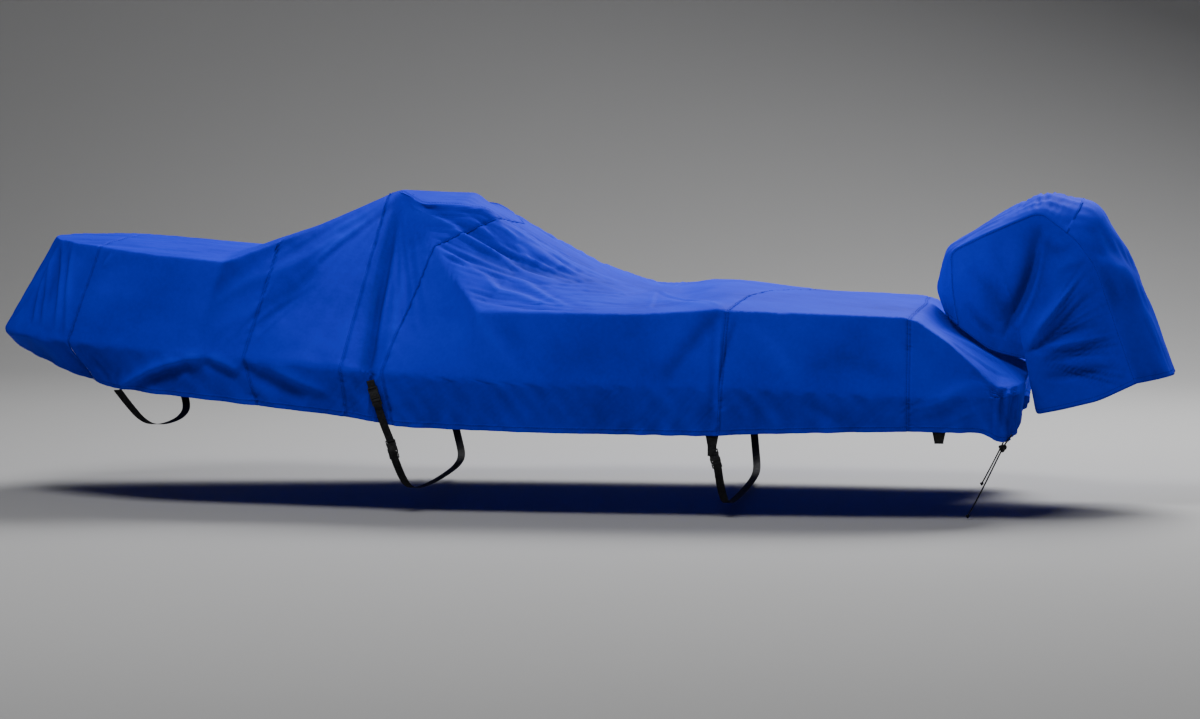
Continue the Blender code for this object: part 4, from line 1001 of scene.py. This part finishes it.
def moulded_acetal(colours):
    """Black acetal, injection moulded: satin, with a fine grain and rubbed edges."""
    material, tree, shader = new_material("acetal, black", linear(colours.plastic), 0.42)
    place = add_node(tree, "ShaderNodeTexCoord")
    grain = add_node(tree, "ShaderNodeTexNoise", {"Vector": place.outputs["Object"], "Scale": 900.0,
                                                  "Detail": 2.0})
    scuff = add_node(tree, "ShaderNodeTexNoise", {"Vector": place.outputs["Object"], "Scale": 45.0,
                                                  "Detail": 6.0})
    ramp = add_node(tree, "ShaderNodeValToRGB", {"Fac": scuff.outputs["Fac"]})
    ramp.color_ramp.elements[0].position = 0.45
    ramp.color_ramp.elements[0].color = linear(colours.plastic)
    ramp.color_ramp.elements[1].position = 0.80
    ramp.color_ramp.elements[1].color = linear(colours.plastic_scuffed)
    tree.links.new(ramp.outputs["Color"], shader.inputs["Base Color"])
    rough = add_node(tree, "ShaderNodeMapRange", {"Value": scuff.outputs["Fac"], "To Min": 0.36,
                                                  "To Max": 0.55})
    tree.links.new(rough.outputs[0], shader.inputs["Roughness"])
    bump = add_node(tree, "ShaderNodeBump", {"Height": grain.outputs["Fac"], "Strength": 0.25,
                                             "Distance": 0.0002})
    tree.links.new(bump.outputs["Normal"], shader.inputs["Normal"])
    shader.inputs["IOR"].default_value = 1.48
    return material


def bonded_thread(colours):
    """Bonded polyester thread, a shade darker than the cloth."""
    material, tree, shader = new_material("bonded polyester thread", linear(colours.thread), 0.9)
    shader.inputs["Specular IOR Level"].default_value = 0.1
    place = add_node(tree, "ShaderNodeTexCoord")
    twist = add_node(tree, "ShaderNodeTexNoise", {"Vector": place.outputs["Object"], "Scale": 500.0})
    ramp = add_node(tree, "ShaderNodeValToRGB", {"Fac": twist.outputs["Fac"]})
    ramp.color_ramp.elements[0].color = linear(colours.thread)
    ramp.color_ramp.elements[1].color = linear(colours.cloth_shade)
    tree.links.new(ramp.outputs["Color"], shader.inputs["Base Color"])
    return material


def braided_cord(colours):
    """Braided black polyester cord: matt, with plaits 5 mm long that slant round it."""
    material, tree, shader = new_material("braided polyester cord, black",
                                          linear(colours.cord), 0.85)
    place = add_node(tree, "ShaderNodeTexCoord")
    plaits = add_node(tree, "ShaderNodeTexWave",
                      {"Vector": place.outputs["Object"], "Scale": 2 * math.pi / (20 * 0.005),
                       "Distortion": 3.0, "Detail": 2.0, "Detail Scale": 1.5},
                      wave_type="BANDS", bands_direction="DIAGONAL")
    ramp = add_node(tree, "ShaderNodeValToRGB", {"Fac": plaits.outputs["Fac"]})
    ramp.color_ramp.elements[0].color = linear(colours.cord)
    ramp.color_ramp.elements[1].color = linear("#141416")
    tree.links.new(ramp.outputs["Color"], shader.inputs["Base Color"])
    bump = add_node(tree, "ShaderNodeBump", {"Height": plaits.outputs["Fac"], "Strength": 0.5,
                                             "Distance": 0.0003})
    tree.links.new(bump.outputs["Normal"], shader.inputs["Normal"])
    return material


MAKERS = {"cloth": coated_polyester, "webbing": woven_webbing, "plastic": moulded_acetal,
          "thread": bonded_thread, "cord": braided_cord}
made = {}


def material_for(kind):
    """The finish of that kind, made the first time it is asked for."""
    if kind not in made:
        made[kind] = MAKERS[kind](bpy.context.scene.boat_cover_colours)
    return made[kind]


def settle(piece, slot, *nodes):
    """The piece rides on the part and stands for its nodes, which it hides; its slot is not used."""
    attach(piece, "root")
    if nodes:
        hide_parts(*nodes)
    return piece


# ---------------------------------------------------------------- hard pieces by hand
def select_none():
    if bpy.context.object and bpy.context.object.mode != "OBJECT":
        bpy.ops.object.mode_set(mode="OBJECT")
    bpy.ops.object.select_all(action="DESELECT")


def block(size, place, bevel):
    """A block of that size about a place, its edges bevelled."""
    select_none()
    bpy.ops.mesh.primitive_cube_add(size=1.0, location=place)
    bpy.ops.object.mode_set(mode="EDIT")
    bpy.ops.mesh.select_all(action="SELECT")
    bpy.ops.transform.resize(value=size)
    bpy.ops.mesh.bevel(offset=bevel, segments=2, affect="EDGES")
    bpy.ops.object.mode_set(mode="OBJECT")
    return bpy.context.object


def press(piece, facing, rim, depth):
    """Insets the largest face that looks that way and pushes it in."""
    mesh = piece.data
    for part in (mesh.vertices, mesh.edges, mesh.polygons):
        part.foreach_set("select", [False] * len(part))
    flat = [face for face in mesh.polygons if face.normal.dot(Vector(facing)) > 0.99]
    max(flat, key=lambda face: face.area).select = True
    bpy.context.view_layer.objects.active = piece
    bpy.ops.object.mode_set(mode="EDIT")
    bpy.ops.mesh.select_mode(type="FACE")
    bpy.ops.mesh.inset(thickness=rim, depth=-depth)
    bpy.ops.object.mode_set(mode="OBJECT")


def join(pieces, name):
    select_none()
    for piece in pieces:
        piece.select_set(True)
    bpy.context.view_layer.objects.active = pieces[0]
    bpy.ops.object.join()
    whole = bpy.context.object
    bpy.ops.object.transform_apply(location=True, rotation=True, scale=True)
    whole.name = name
    whole.data.name = name
    return whole


def model_buckle(sizes):
    """A closed side-release buckle, 50 mm wide, lying along Y with its face to +Z."""
    width, length, depth = sizes.buckle_width, sizes.buckle_length, sizes.buckle_depth
    bar = 0.006
    half = length / 2
    socket = block((width * 0.88, length * 0.40, depth), (0, -length * 0.10, 0), 0.0028)
    press(socket, (0, 0, 1), 0.006, 0.0016)
    press(socket, (0, 0, -1), 0.006, 0.0016)
    rim = block((width * 0.96, length * 0.10, depth * 0.9), (0, -length * 0.26, 0), 0.0022)
    plug = block((width * 0.92, length * 0.13, depth * 0.85), (0, length * 0.205, 0), 0.0024)
    press(plug, (0, 0, 1), 0.004, 0.0012)
    pieces = [socket, rim, plug]
    for side in (-1, 1):
        prong = block((width * 0.13, length * 0.24, depth * 0.62),
                      (side * width * 0.43, length * 0.055, 0), 0.0022)
        press(prong, (side, 0, 0), 0.002, 0.0008)
        pieces.append(prong)
        for end in (-1, 1):
            pieces.append(block((width * 0.10, length * 0.23, depth * 0.55),
                                (side * width * 0.43, end * (half - length * 0.115), 0), 0.0018))
    for end in (-1, 1):
        pieces.append(block((width * 0.84, bar, depth * 0.5), (0, end * (half - bar / 2), 0), 0.0018))
        pieces.append(block((width * 0.84, bar * 0.8, depth * 0.42),
                            (0, end * (half - length * 0.175), 0), 0.0014))
    ridge = block((width * 0.34, length * 0.15, 0.003), (0, -length * 0.10, depth * 0.5 - 0.0012),
                  0.0010)
    pieces.append(ridge)
    buckle = join(pieces, "buckle_pattern")
    bpy.ops.object.shade_smooth_by_angle(angle=math.radians(35))
    return buckle


# ---------------------------------------------------------------- straps
def half_route(points, side):
    return [np.array([point.x, side * point.breadth, point.height]) for point in points]


def full_route(points):
    return half_route(points, -1) + half_route(points, 1)[::-1][1:]


def strap_axes(route):
    """Directions along a strap, across it and out from its face, at each place."""
    along = unit(np.gradient(route, axis=0))
    across = unit(np.array([1.0, 0.0, 0.0]) - along * along[:, :1])
    return along, across, np.cross(across, along)


def even_route(points, step):
    """A rounded route with places at even distances."""
    route = smooth_route(points, 240)
    gone = distances(route)
    at = np.linspace(0.0, gone[-1], max(4, int(gone[-1] / step) + 1))
    return read_along(at, gone, route)


def webbing_piece(name, route, width, thickness, material, widths=None):
    """A flat strap along a route, with soft edges and a little waviness."""
    _, across, face = strap_axes(route)
    shares = np.array([-0.5, -0.46, -0.25, 0.0, 0.25, 0.46, 0.5])
    dips = np.array([-0.0005, 0.0, 0.0001, 0.0001, 0.0001, 0.0, -0.0005])
    wide = np.full(len(route), width) if widths is None else widths
    grid = (route[:, None] + across[:, None] * shares[None, :, None] * wide[:, None, None]
            + face[:, None] * dips[None, :, None])
    flat = np.stack(np.broadcast_arrays(distances(route)[:, None], shares[None] * wide[:, None]),
                    axis=-1)
    piece = sheet_piece(name, to_frame(grid), material, thickness, flat, offset=0.0)
    bevel = piece.modifiers.new("soft edges", "BEVEL")
    bevel.width = thickness * 0.3
    bevel.segments = 1
    bevel.limit_method = "ANGLE"
    return piece


def turned_back(route, outward, reach, gap):
    """A route whose two ends fold back outside it, as webbing does through a buckle's slot."""
    def tail(places, normal):
        back = places[distances(places) < reach][::-1] + normal * gap
        first = places[0] - unit(places[1] - places[0]) * gap * 0.5 + normal * gap * 0.5
        return np.concatenate([back, first[None]])
    start = tail(route, outward[0])
    end = tail(route[::-1], outward[1])
    return np.concatenate([start, route, end[::-1]])


def run_on(points, reach):
    """A route made longer at both ends, so that webbing reaches a buckle's end bars."""
    start = points[0] + unit(points[0] - points[1]) * reach
    end = points[-1] + unit(points[-1] - points[-2]) * reach
    return [start] + list(points) + [end]


def strap_outward(side):
    return np.array([0.0, float(side), 0.0])


# ---------------------------------------------------------------- cords and knots
def tube(name, points, diameter, material, closed=False):
    curve = bpy.data.curves.new(name, "CURVE")
    curve.dimensions = "3D"
    curve.bevel_depth = diameter / 2
    curve.bevel_resolution = 4
    curve.use_fill_caps = True
    spline = curve.splines.new("POLY")
    spline.points.add(len(points) - 1)
    for point, place in zip(spline.points, points):
        point.co = (*place, 1.0)
    spline.use_cyclic_u = closed
    spline.use_smooth = True
    curve.materials.append(material)
    piece = bpy.data.objects.new(name, curve)
    bpy.context.scene.collection.objects.link(piece)
    return piece


def knot_points(place, size, diameter, count=72):
    """A trefoil pulled tight round a place, of that outer size."""
    turn = np.linspace(0.0, 2 * np.pi, count, endpoint=False)
    loop = np.stack([np.sin(turn) + 2 * np.sin(2 * turn), np.cos(turn) - 2 * np.cos(2 * turn),
                     -np.sin(3 * turn) * 1.5], axis=-1)
    scale = (size - diameter) / 2 / 3.0
    tilt = np.array(Matrix.Rotation(math.radians(70), 3, "X"))
    return place + loop @ tilt.T * scale


# ---------------------------------------------------------------- settings
class CoverSizes(bpy.types.PropertyGroup):
    cloth_thickness: bpy.props.FloatProperty(
        name="Cloth thickness", description="Thickness of the coated cloth", default=0.0012,
        min=0.0005, max=0.003, unit="LENGTH", precision=4)
    grid_step: bpy.props.FloatProperty(
        name="Grid step", description="Distance between the cloth's rows of faces",
        default=0.0132, min=0.006, max=0.05, unit="LENGTH", precision=4)
    hem_width: bpy.props.FloatProperty(
        name="Hem width", description="Depth of the turned hem", default=0.028,
        min=0.01, max=0.05, unit="LENGTH", precision=4)
    hem_stitch: bpy.props.FloatProperty(
        name="Hem stitch", description="Distance of the hem's stitches from its edge",
        default=0.0235, min=0.005, max=0.045, unit="LENGTH", precision=4)
    lap_width: bpy.props.FloatProperty(
        name="Lap width", description="How far a panel is doubled before its seam",
        default=0.006, min=0.002, max=0.02, unit="LENGTH", precision=4)
    pucker: bpy.props.FloatProperty(
        name="Seam pucker", description="Height of the puckers beside a seam", default=0.0034,
        min=0.0, max=0.008, unit="LENGTH", precision=4)
    stitch_pitch: bpy.props.FloatProperty(
        name="Stitch pitch", description="Distance from one stitch to the next", default=0.0075,
        min=0.003, max=0.02, unit="LENGTH", precision=4)
    stitch_length: bpy.props.FloatProperty(
        name="Stitch length", description="Length of one stitch", default=0.0052,
        min=0.002, max=0.015, unit="LENGTH", precision=4)
    thread: bpy.props.FloatProperty(
        name="Thread", description="Thickness of the thread, drawn thicker so that it shows",
        default=0.0024, min=0.0004, max=0.003, unit="LENGTH", precision=4)


class StrapSizes(bpy.types.PropertyGroup):
    webbing: bpy.props.FloatProperty(
        name="Webbing width", description="Width of the straps", default=0.038,
        min=0.02, max=0.06, unit="LENGTH", precision=4)
    webbing_thickness: bpy.props.FloatProperty(
        name="Webbing thickness", description="Thickness of the straps", default=0.0016,
        min=0.0008, max=0.004, unit="LENGTH", precision=4)
    buckle_width: bpy.props.FloatProperty(
        name="Buckle width", description="Width of a buckle", default=0.050,
        min=0.03, max=0.08, unit="LENGTH", precision=4)
    buckle_length: bpy.props.FloatProperty(
        name="Buckle length", description="Length of a closed buckle", default=0.092,
        min=0.05, max=0.15, unit="LENGTH", precision=4)
    buckle_depth: bpy.props.FloatProperty(
        name="Buckle depth", description="Thickness of a buckle", default=0.014,
        min=0.008, max=0.03, unit="LENGTH", precision=4)
    tab_top: bpy.props.FloatProperty(
        name="Tab top", description="Width of a tab at the hem", default=0.070,
        min=0.03, max=0.12, unit="LENGTH", precision=4)
    tab_foot: bpy.props.FloatProperty(
        name="Tab foot", description="Width of a tab at its foot", default=0.042,
        min=0.02, max=0.08, unit="LENGTH", precision=4)
    cord: bpy.props.FloatProperty(
        name="Cord", description="Diameter of the stern ties", default=0.007,
        min=0.003, max=0.015, unit="LENGTH", precision=4)
    tie_knot: bpy.props.FloatProperty(
        name="Tie knot", description="Size of the knot at the gathered corner", default=0.042,
        min=0.015, max=0.06, unit="LENGTH", precision=4)
    end_knot: bpy.props.FloatProperty(
        name="End knot", description="Size of the knot at the tie's free end", default=0.020,
        min=0.01, max=0.04, unit="LENGTH", precision=4)


class CoverColours(bpy.types.PropertyGroup):
    cloth: bpy.props.StringProperty(
        name="Cloth", description="Colour of the cloth, sRGB hex", default="#0820D8")
    # fold crests are worn and are also lighter as a painted highlight; the troughs are darker as dust
    # and painted shade
    cloth_light: bpy.props.StringProperty(
        name="Worn and highlit cloth", description="Colour of worn and highlit crests, sRGB hex", default="#1030F0")
    cloth_shade: bpy.props.StringProperty(
        name="Shaded cloth", description="Colour of the troughs, sRGB hex", default="#0618A8")
    webbing: bpy.props.StringProperty(
        name="Webbing", description="Colour of the straps, sRGB hex", default="#141416")
    webbing_worn: bpy.props.StringProperty(
        name="Worn webbing", description="Colour of worn webbing, sRGB hex", default="#2E2E31")
    plastic: bpy.props.StringProperty(
        name="Buckles", description="Colour of the buckles, sRGB hex", default="#161617")
    plastic_scuffed: bpy.props.StringProperty(
        name="Scuffed buckles", description="Colour of scuffs, sRGB hex", default="#39393C")
    thread: bpy.props.StringProperty(
        name="Thread", description="Colour of the thread, sRGB hex", default="#020A34")
    cord: bpy.props.StringProperty(
        name="Cord", description="Colour of the ties, sRGB hex", default="#101012")
    floor: bpy.props.StringProperty(
        name="Floor", description="Colour of the floor and walls, sRGB hex", default="#B0B0B0")


class StageSizes(bpy.types.PropertyGroup):
    camera_place: bpy.props.FloatVectorProperty(
        name="Camera", description="Place of the camera", default=(3.528, -21.253, 0.833),
        subtype="TRANSLATION")
    look_at: bpy.props.FloatVectorProperty(
        name="Look at", description="Place the camera looks at", default=(0.73, 0.0, -0.816),
        subtype="TRANSLATION")
    lens: bpy.props.FloatProperty(
        name="Lens", description="Focal length in millimetres", default=132.0, min=20.0, max=400.0)
    key: bpy.props.FloatProperty(
        name="Key light", description="Power of the overhead light", default=1250.0, min=0.0)
    fill: bpy.props.FloatProperty(
        name="Fill light", description="Power of the light by the camera", default=600.0, min=0.0)
    sky: bpy.props.FloatProperty(
        name="Sky", description="Strength of the light from all round", default=0.28, min=0.0)


# ---------------------------------------------------------------- operators
class COVER_OT_panels(bpy.types.Operator):
    """Make the cover's cloth panels, with their seams and hem"""
    bl_idname = "boat_cover.panels"
    bl_label = "Cover panels"

    def execute(self, context):
        sizes = context.scene.boat_cover_sizes
        for panel in PANELS:
            piece, stitches = make_panel(panel, sizes, material_for("cloth"))
            settle(piece, "cloth", panel.name)
            sewn = stitch_mesh(panel.name + "_stitches", stitches, sizes.stitch_pitch,
                               sizes.stitch_length, sizes.thread, material_for("thread"))
            settle(sewn, "cloth")
        return {"FINISHED"}


HOOD_FRONT_CUT = (0.60, 1.05, 0.44)
HOOD_REAR_CUT = (0.75, 1.00, 0.60)


class COVER_OT_hood(bpy.types.Operator):
    """Make the motor hood's four pieces, with their seams and hem"""
    bl_idname = "boat_cover.hood"
    bl_label = "Motor hood"

    def execute(self, context):
        sizes = context.scene.boat_cover_sizes
        cloth = material_for("cloth")
        step = sizes.grid_step * 0.85
        trees = []
        lines = []
        for word, side in SIDES:
            grid, cloth_map, relief = hood_side_grid(side, step)
            trees.append(tree_of(grid))
            piece = sheet_piece("hood_" + word + "_cloth", to_frame(grid), cloth,
                                sizes.cloth_thickness, cloth_map, relief)
            settle(piece, "cloth", "hood_" + word)
            normals = grid_normals(grid)
            lines.append((to_frame(grid[:, 2]), normals[:, 2]))
        for name, start, end, lap_end, cut in (
                ("hood_rear", HOOD_CROSS_SEAM, len(HOOD) - 1.0, False, HOOD_REAR_CUT),
                ("hood_front", 0.0, HOOD_CROSS_SEAM, True, HOOD_FRONT_CUT)):
            grid, cloth_map, relief = hood_band_grid(start, end, lap_end, trees, step, sizes)
            piece = sheet_piece(name + "_cloth", to_frame(grid), cloth, sizes.cloth_thickness,
                                cloth_map, relief)
            settle(piece, "cloth", name)
            normals = grid_normals(grid)
            for row in (1, -2):
                lines.append((to_frame(grid[:, row]), normals[:, row]))
            hem = -3 if name == "hood_rear" else 2
            lines.append((to_frame(grid[hem]), normals[hem]))
            if lap_end:
                lines.append((to_frame(grid[-2]), normals[-2]))
        sewn = stitch_mesh("hood_stitches", lines, sizes.stitch_pitch, sizes.stitch_length,
                           sizes.thread, material_for("thread"))
        settle(sewn, "cloth")
        return {"FINISHED"}


class COVER_OT_straps(bpy.types.Operator):
    """Make the webbing straps that run under the hull, and the links between buckles"""
    bl_idname = "boat_cover.straps"
    bl_label = "Straps"

    def execute(self, context):
        sizes = context.scene.boat_cover_straps
        web = material_for("webbing")
        thick = sizes.webbing_thickness
        gap = thick + TAIL_GAP

        def strap(name, route, *nodes):
            piece = webbing_piece(name + "_webbing", route, sizes.webbing, thick, web)
            settle(piece, "webbing", *nodes)

        for name, points, tail, inside in STRAPS:
            ends = full_route(points)
            if inside:
                ends = run_on(ends, inside)
            sides = (strap_outward(-1), strap_outward(1))
            strap(name, turned_back(even_route(ends, STRAP_STEP), sides, tail, gap), name)
        for word, side in SIDES:
            link = half_route(MID_LINK, side)
            out = strap_outward(side)
            route = even_route(run_on(link, INSIDE), STRAP_STEP)
            strap("link_mid_" + word, turned_back(route, (out, out), LINK_TAIL, gap),
                  "link_mid_" + word)
            rise = unit(link[0] - link[1])
            loop = [link[0] + rise * reach for reach in LOOP_REACHES]
            loop[0] = loop[0] - out * LOOP_SINK
            strap("loop_mid_" + word, even_route(loop, SHORT_STEP))
        return {"FINISHED"}


class COVER_OT_tabs(bpy.types.Operator):
    """Make the tapered webbing tabs sewn inside the hem"""
    bl_idname = "boat_cover.tabs"
    bl_label = "Tabs"

    def execute(self, context):
        sizes = context.scene.boat_cover_straps
        offset = to_frame((0.0, 0.0, 0.0))
        for place in ("aft", "stern"):
            for word, _ in SIDES:
                node = "tab_" + place + "_" + word
                low, high = (np.array(corner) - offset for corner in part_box(node))
                middle = (low + high) / 2
                top = np.array([middle[0], middle[1], high[2]])
                foot = np.array([middle[0], middle[1], low[2]])
                if place == "aft":
                    foot[2] -= TAB_INSIDE
                route = even_route([top, (top + foot) / 2, foot], SHORT_STEP)
                widths = np.interp(route[:, 2], [foot[2], low[2] + TAB_TAPER_END, top[2]],
                                   [sizes.tab_foot, sizes.tab_foot, sizes.tab_top])
                piece = webbing_piece(node + "_webbing", route, sizes.webbing,
                                      sizes.webbing_thickness * TAB_LAYERS,
                                      material_for("webbing"), widths)
                settle(piece, "webbing", node)
        return {"FINISHED"}


class COVER_OT_buckles(bpy.types.Operator):
    """Model one side-release buckle and set a copy at each end of the side straps"""
    bl_idname = "boat_cover.buckles"
    bl_label = "Buckles"

    def execute(self, context):
        sizes = context.scene.boat_cover_straps
        pattern = model_buckle(sizes)
        pattern.data.materials.clear()
        pattern.data.materials.append(material_for("plastic"))
        for word, side in SIDES:
            link = half_route(MID_LINK, side)
            strap = half_route(MID_STRAP, side)
            aft = half_route(AFT_STRAP, side)
            upper = unit(link[0] - link[1])
            low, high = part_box("tab_aft_" + word)
            foot = (np.array(low) + np.array(high)) / 2 - to_frame((0.0, 0.0, 0.0))
            foot[2] = low[2] - to_frame((0.0, 0.0, 0.0))[2]
            for name, top, bottom in (
                    ("buckle_mid_upper_", link[0] + upper * UPPER_BUCKLE_SPAN, link[0]),
                    ("buckle_mid_lower_", link[-1], strap[0]),
                    ("buckle_aft_", foot, aft[0])):
                self.set_copy(pattern, name + word, top, bottom, side)
        bpy.data.objects.remove(pattern, do_unlink=True)
        return {"FINISHED"}

    def set_copy(self, pattern, node, top, bottom, side):
        along = unit(bottom - top)
        across = unit(np.array([1.0, 0.0, 0.0]) - along * along[0])
        face = np.cross(across, along)
        if face[1] * side < 0:
            across, face = -across, -face
        mesh = pattern.data.copy()
        turn = Matrix(np.stack([across, along, face], axis=1).tolist()).to_4x4()
        middle = Vector(to_frame((top + bottom) / 2))
        mesh.transform(Matrix.Translation(middle) @ turn)
        mesh.name = node
        piece = bpy.data.objects.new(node + "_moulded", mesh)
        bpy.context.scene.collection.objects.link(piece)
        settle(piece, "plastic", node)


class COVER_OT_ties(bpy.types.Operator):
    """Make the stern ties: a cord from each gathered corner, its knot and its knotted end"""
    bl_idname = "boat_cover.ties"
    bl_label = "Stern ties"

    def execute(self, context):
        sizes = context.scene.boat_cover_straps
        cord = material_for("cord")
        for word, side in SIDES:
            points = half_route(TIE, side)
            route = to_frame(even_route(points, STRAP_STEP))
            length = float(distances(route)[-1])
            knot = to_frame(points[TIE_KNOT_ROW])
            end = route[-1] + unit(route[-1] - route[-2]) * sizes.end_knot * END_KNOT_SHARE
            thick = sizes.cord * KNOT_FULLNESS
            gathered = tube("tie_knot_" + word + "_tied",
                            knot_points(knot, sizes.tie_knot, thick), thick, cord, True)
            settle(gathered, "cord", "tie_knot_" + word)
            thin = sizes.cord * KNOT_TIGHTNESS
            stopper = tube("tie_end_" + word + "_tied", knot_points(end, sizes.end_knot, thin),
                           thin, cord, True)
            settle(stopper, "cord", "tie_end_" + word)
            line = tube("tie_" + word + "_cord", route, sizes.cord, cord)
            settle(line, "cord", "tie_upper_" + word, "tie_" + word)
        return {"FINISHED"}


FLOOR_CLEARANCE = 0.004       # the floor lies this far under the lowest piece
FLOOR_MIDDLE = (0.7, -14.0)
FLOOR_SIZE = (70.0, 56.0)
ROOM_HEIGHT = 20.0            # the floor is drawn up into a closed room
ROOM_SWEEP = 7.0              # radius of the sweep from its floor to its walls
LIGHT_AIM = (0.6, 0.0, -0.7)


class COVER_OT_stage(bpy.types.Operator):
    """Set the studio room, the lights and the camera"""
    bl_idname = "boat_cover.stage"
    bl_label = "Stage"

    def execute(self, context):
        stage = context.scene.boat_cover_stage
        colours = context.scene.boat_cover_colours
        floor_z = CAD_BOX[0][2] - FLOOR_CLEARANCE
        select_none()
        bpy.ops.mesh.primitive_plane_add(size=1.0, location=(*FLOOR_MIDDLE, floor_z))
        floor = bpy.context.object
        floor.name = "floor"
        bpy.ops.object.mode_set(mode="EDIT")
        bpy.ops.mesh.select_all(action="SELECT")
        bpy.ops.transform.resize(value=(*FLOOR_SIZE, 1.0))
        up = (0.0, 0.0, ROOM_HEIGHT)
        bpy.ops.mesh.extrude_region_move(TRANSFORM_OT_translate={"value": up})
        bpy.ops.object.mode_set(mode="OBJECT")
        sweep = floor.modifiers.new("sweep", "BEVEL")
        sweep.width = ROOM_SWEEP
        sweep.segments = 24
        floor.data.shade_smooth()
        pale = linear(colours.floor)
        paint, tree, shader = new_material("painted studio floor, matt", pale, 0.9)
        place = add_node(tree, "ShaderNodeTexCoord")
        cloud = add_node(tree, "ShaderNodeTexNoise", {"Vector": place.outputs["Object"],
                                                      "Scale": 0.6, "Detail": 3.0})
        ramp = add_node(tree, "ShaderNodeValToRGB", {"Fac": cloud.outputs["Fac"]})
        ramp.color_ramp.elements[0].color = [c * 0.97 for c in pale[:3]] + [1.0]
        ramp.color_ramp.elements[1].color = pale
        tree.links.new(ramp.outputs["Color"], shader.inputs["Base Color"])
        shader.inputs["Specular IOR Level"].default_value = 0.1
        # clear from outside the room, so that its walls hide nothing when seen from behind
        facing = add_node(tree, "ShaderNodeNewGeometry")
        clear = add_node(tree, "ShaderNodeBsdfTransparent")
        surface = add_node(tree, "ShaderNodeMixShader", {0: facing.outputs["Backfacing"],
                                                         1: clear.outputs["BSDF"],
                                                         2: shader.outputs["BSDF"]})
        tree.links.new(surface.outputs[0], tree.nodes["Material Output"].inputs["Surface"])
        floor.data.materials.append(paint)
        self.lights(stage)
        camera_data = bpy.data.cameras.new("camera")
        camera_data.sensor_width = 36.0
        camera_data.lens = stage.lens
        camera_data.clip_end = 200.0
        camera = bpy.data.objects.new("camera", camera_data)
        camera.location = stage.camera_place
        aim = Vector(stage.look_at) - Vector(stage.camera_place)
        camera.rotation_euler = aim.to_track_quat("-Z", "Y").to_euler()
        bpy.context.scene.collection.objects.link(camera)
        bpy.context.scene.camera = camera
        return {"FINISHED"}

    def lights(self, stage):
        world = bpy.data.worlds.new("soft sky")
        bpy.context.scene.world = world
        world.use_nodes = True
        sky = world.node_tree.nodes["Background"]
        sky.inputs["Color"].default_value = linear("#E6E9EE")
        sky.inputs["Strength"].default_value = stage.sky
        target = Vector(LIGHT_AIM)
        for name, place, power, size in (
                ("overhead light", (3.8, 4.6, 6.0), stage.key, (5.5, 4.0)),
                ("camera fill", (-1.6, -5.5, 8.5), stage.fill, (5.5, 3.0))):
            lamp = bpy.data.lights.new(name, "AREA")
            lamp.energy = power
            lamp.shape = "RECTANGLE"
            lamp.size, lamp.size_y = size
            light = bpy.data.objects.new(name, lamp)
            light.location = place
            light.rotation_euler = (target - Vector(place)).to_track_quat("-Z", "Y").to_euler()
            bpy.context.scene.collection.objects.link(light)


class COVER_PT_panel(bpy.types.Panel):
    """The boat cover's pieces and settings"""
    bl_label = "Boat Cover"
    bl_idname = "COVER_PT_panel"
    bl_space_type = "VIEW_3D"
    bl_region_type = "UI"
    bl_category = "Boat Cover"

    def draw(self, context):
        layout = self.layout
        for group in GROUPS:
            settings = getattr(context.scene, group)
            for name in settings.__annotations__:
                layout.prop(settings, name)
        for operator in OPERATORS:
            layout.operator(operator.bl_idname)


GROUPS = {"boat_cover_sizes": CoverSizes, "boat_cover_straps": StrapSizes,
          "boat_cover_colours": CoverColours, "boat_cover_stage": StageSizes}
OPERATORS = (COVER_OT_stage, COVER_OT_ties, COVER_OT_panels, COVER_OT_hood, COVER_OT_straps,
             COVER_OT_tabs, COVER_OT_buckles)


def register():
    for group in GROUPS.values():
        bpy.utils.register_class(group)
    for name, group in GROUPS.items():
        setattr(bpy.types.Scene, name, bpy.props.PointerProperty(type=group))
    for kind in OPERATORS + (COVER_PT_panel,):
        bpy.utils.register_class(kind)


def unregister():
    for kind in reversed(OPERATORS + (COVER_PT_panel,)):
        bpy.utils.unregister_class(kind)
    for name in GROUPS:
        delattr(bpy.types.Scene, name)
    for group in reversed(GROUPS.values()):
        bpy.utils.unregister_class(group)


def main():
    register()
    bpy.ops.boat_cover.stage()
    bpy.ops.boat_cover.ties()
    bpy.ops.boat_cover.panels()
    bpy.ops.boat_cover.hood()
    bpy.ops.boat_cover.straps()
    bpy.ops.boat_cover.tabs()
    bpy.ops.boat_cover.buckles()


if __name__ == "__main__":
    main()
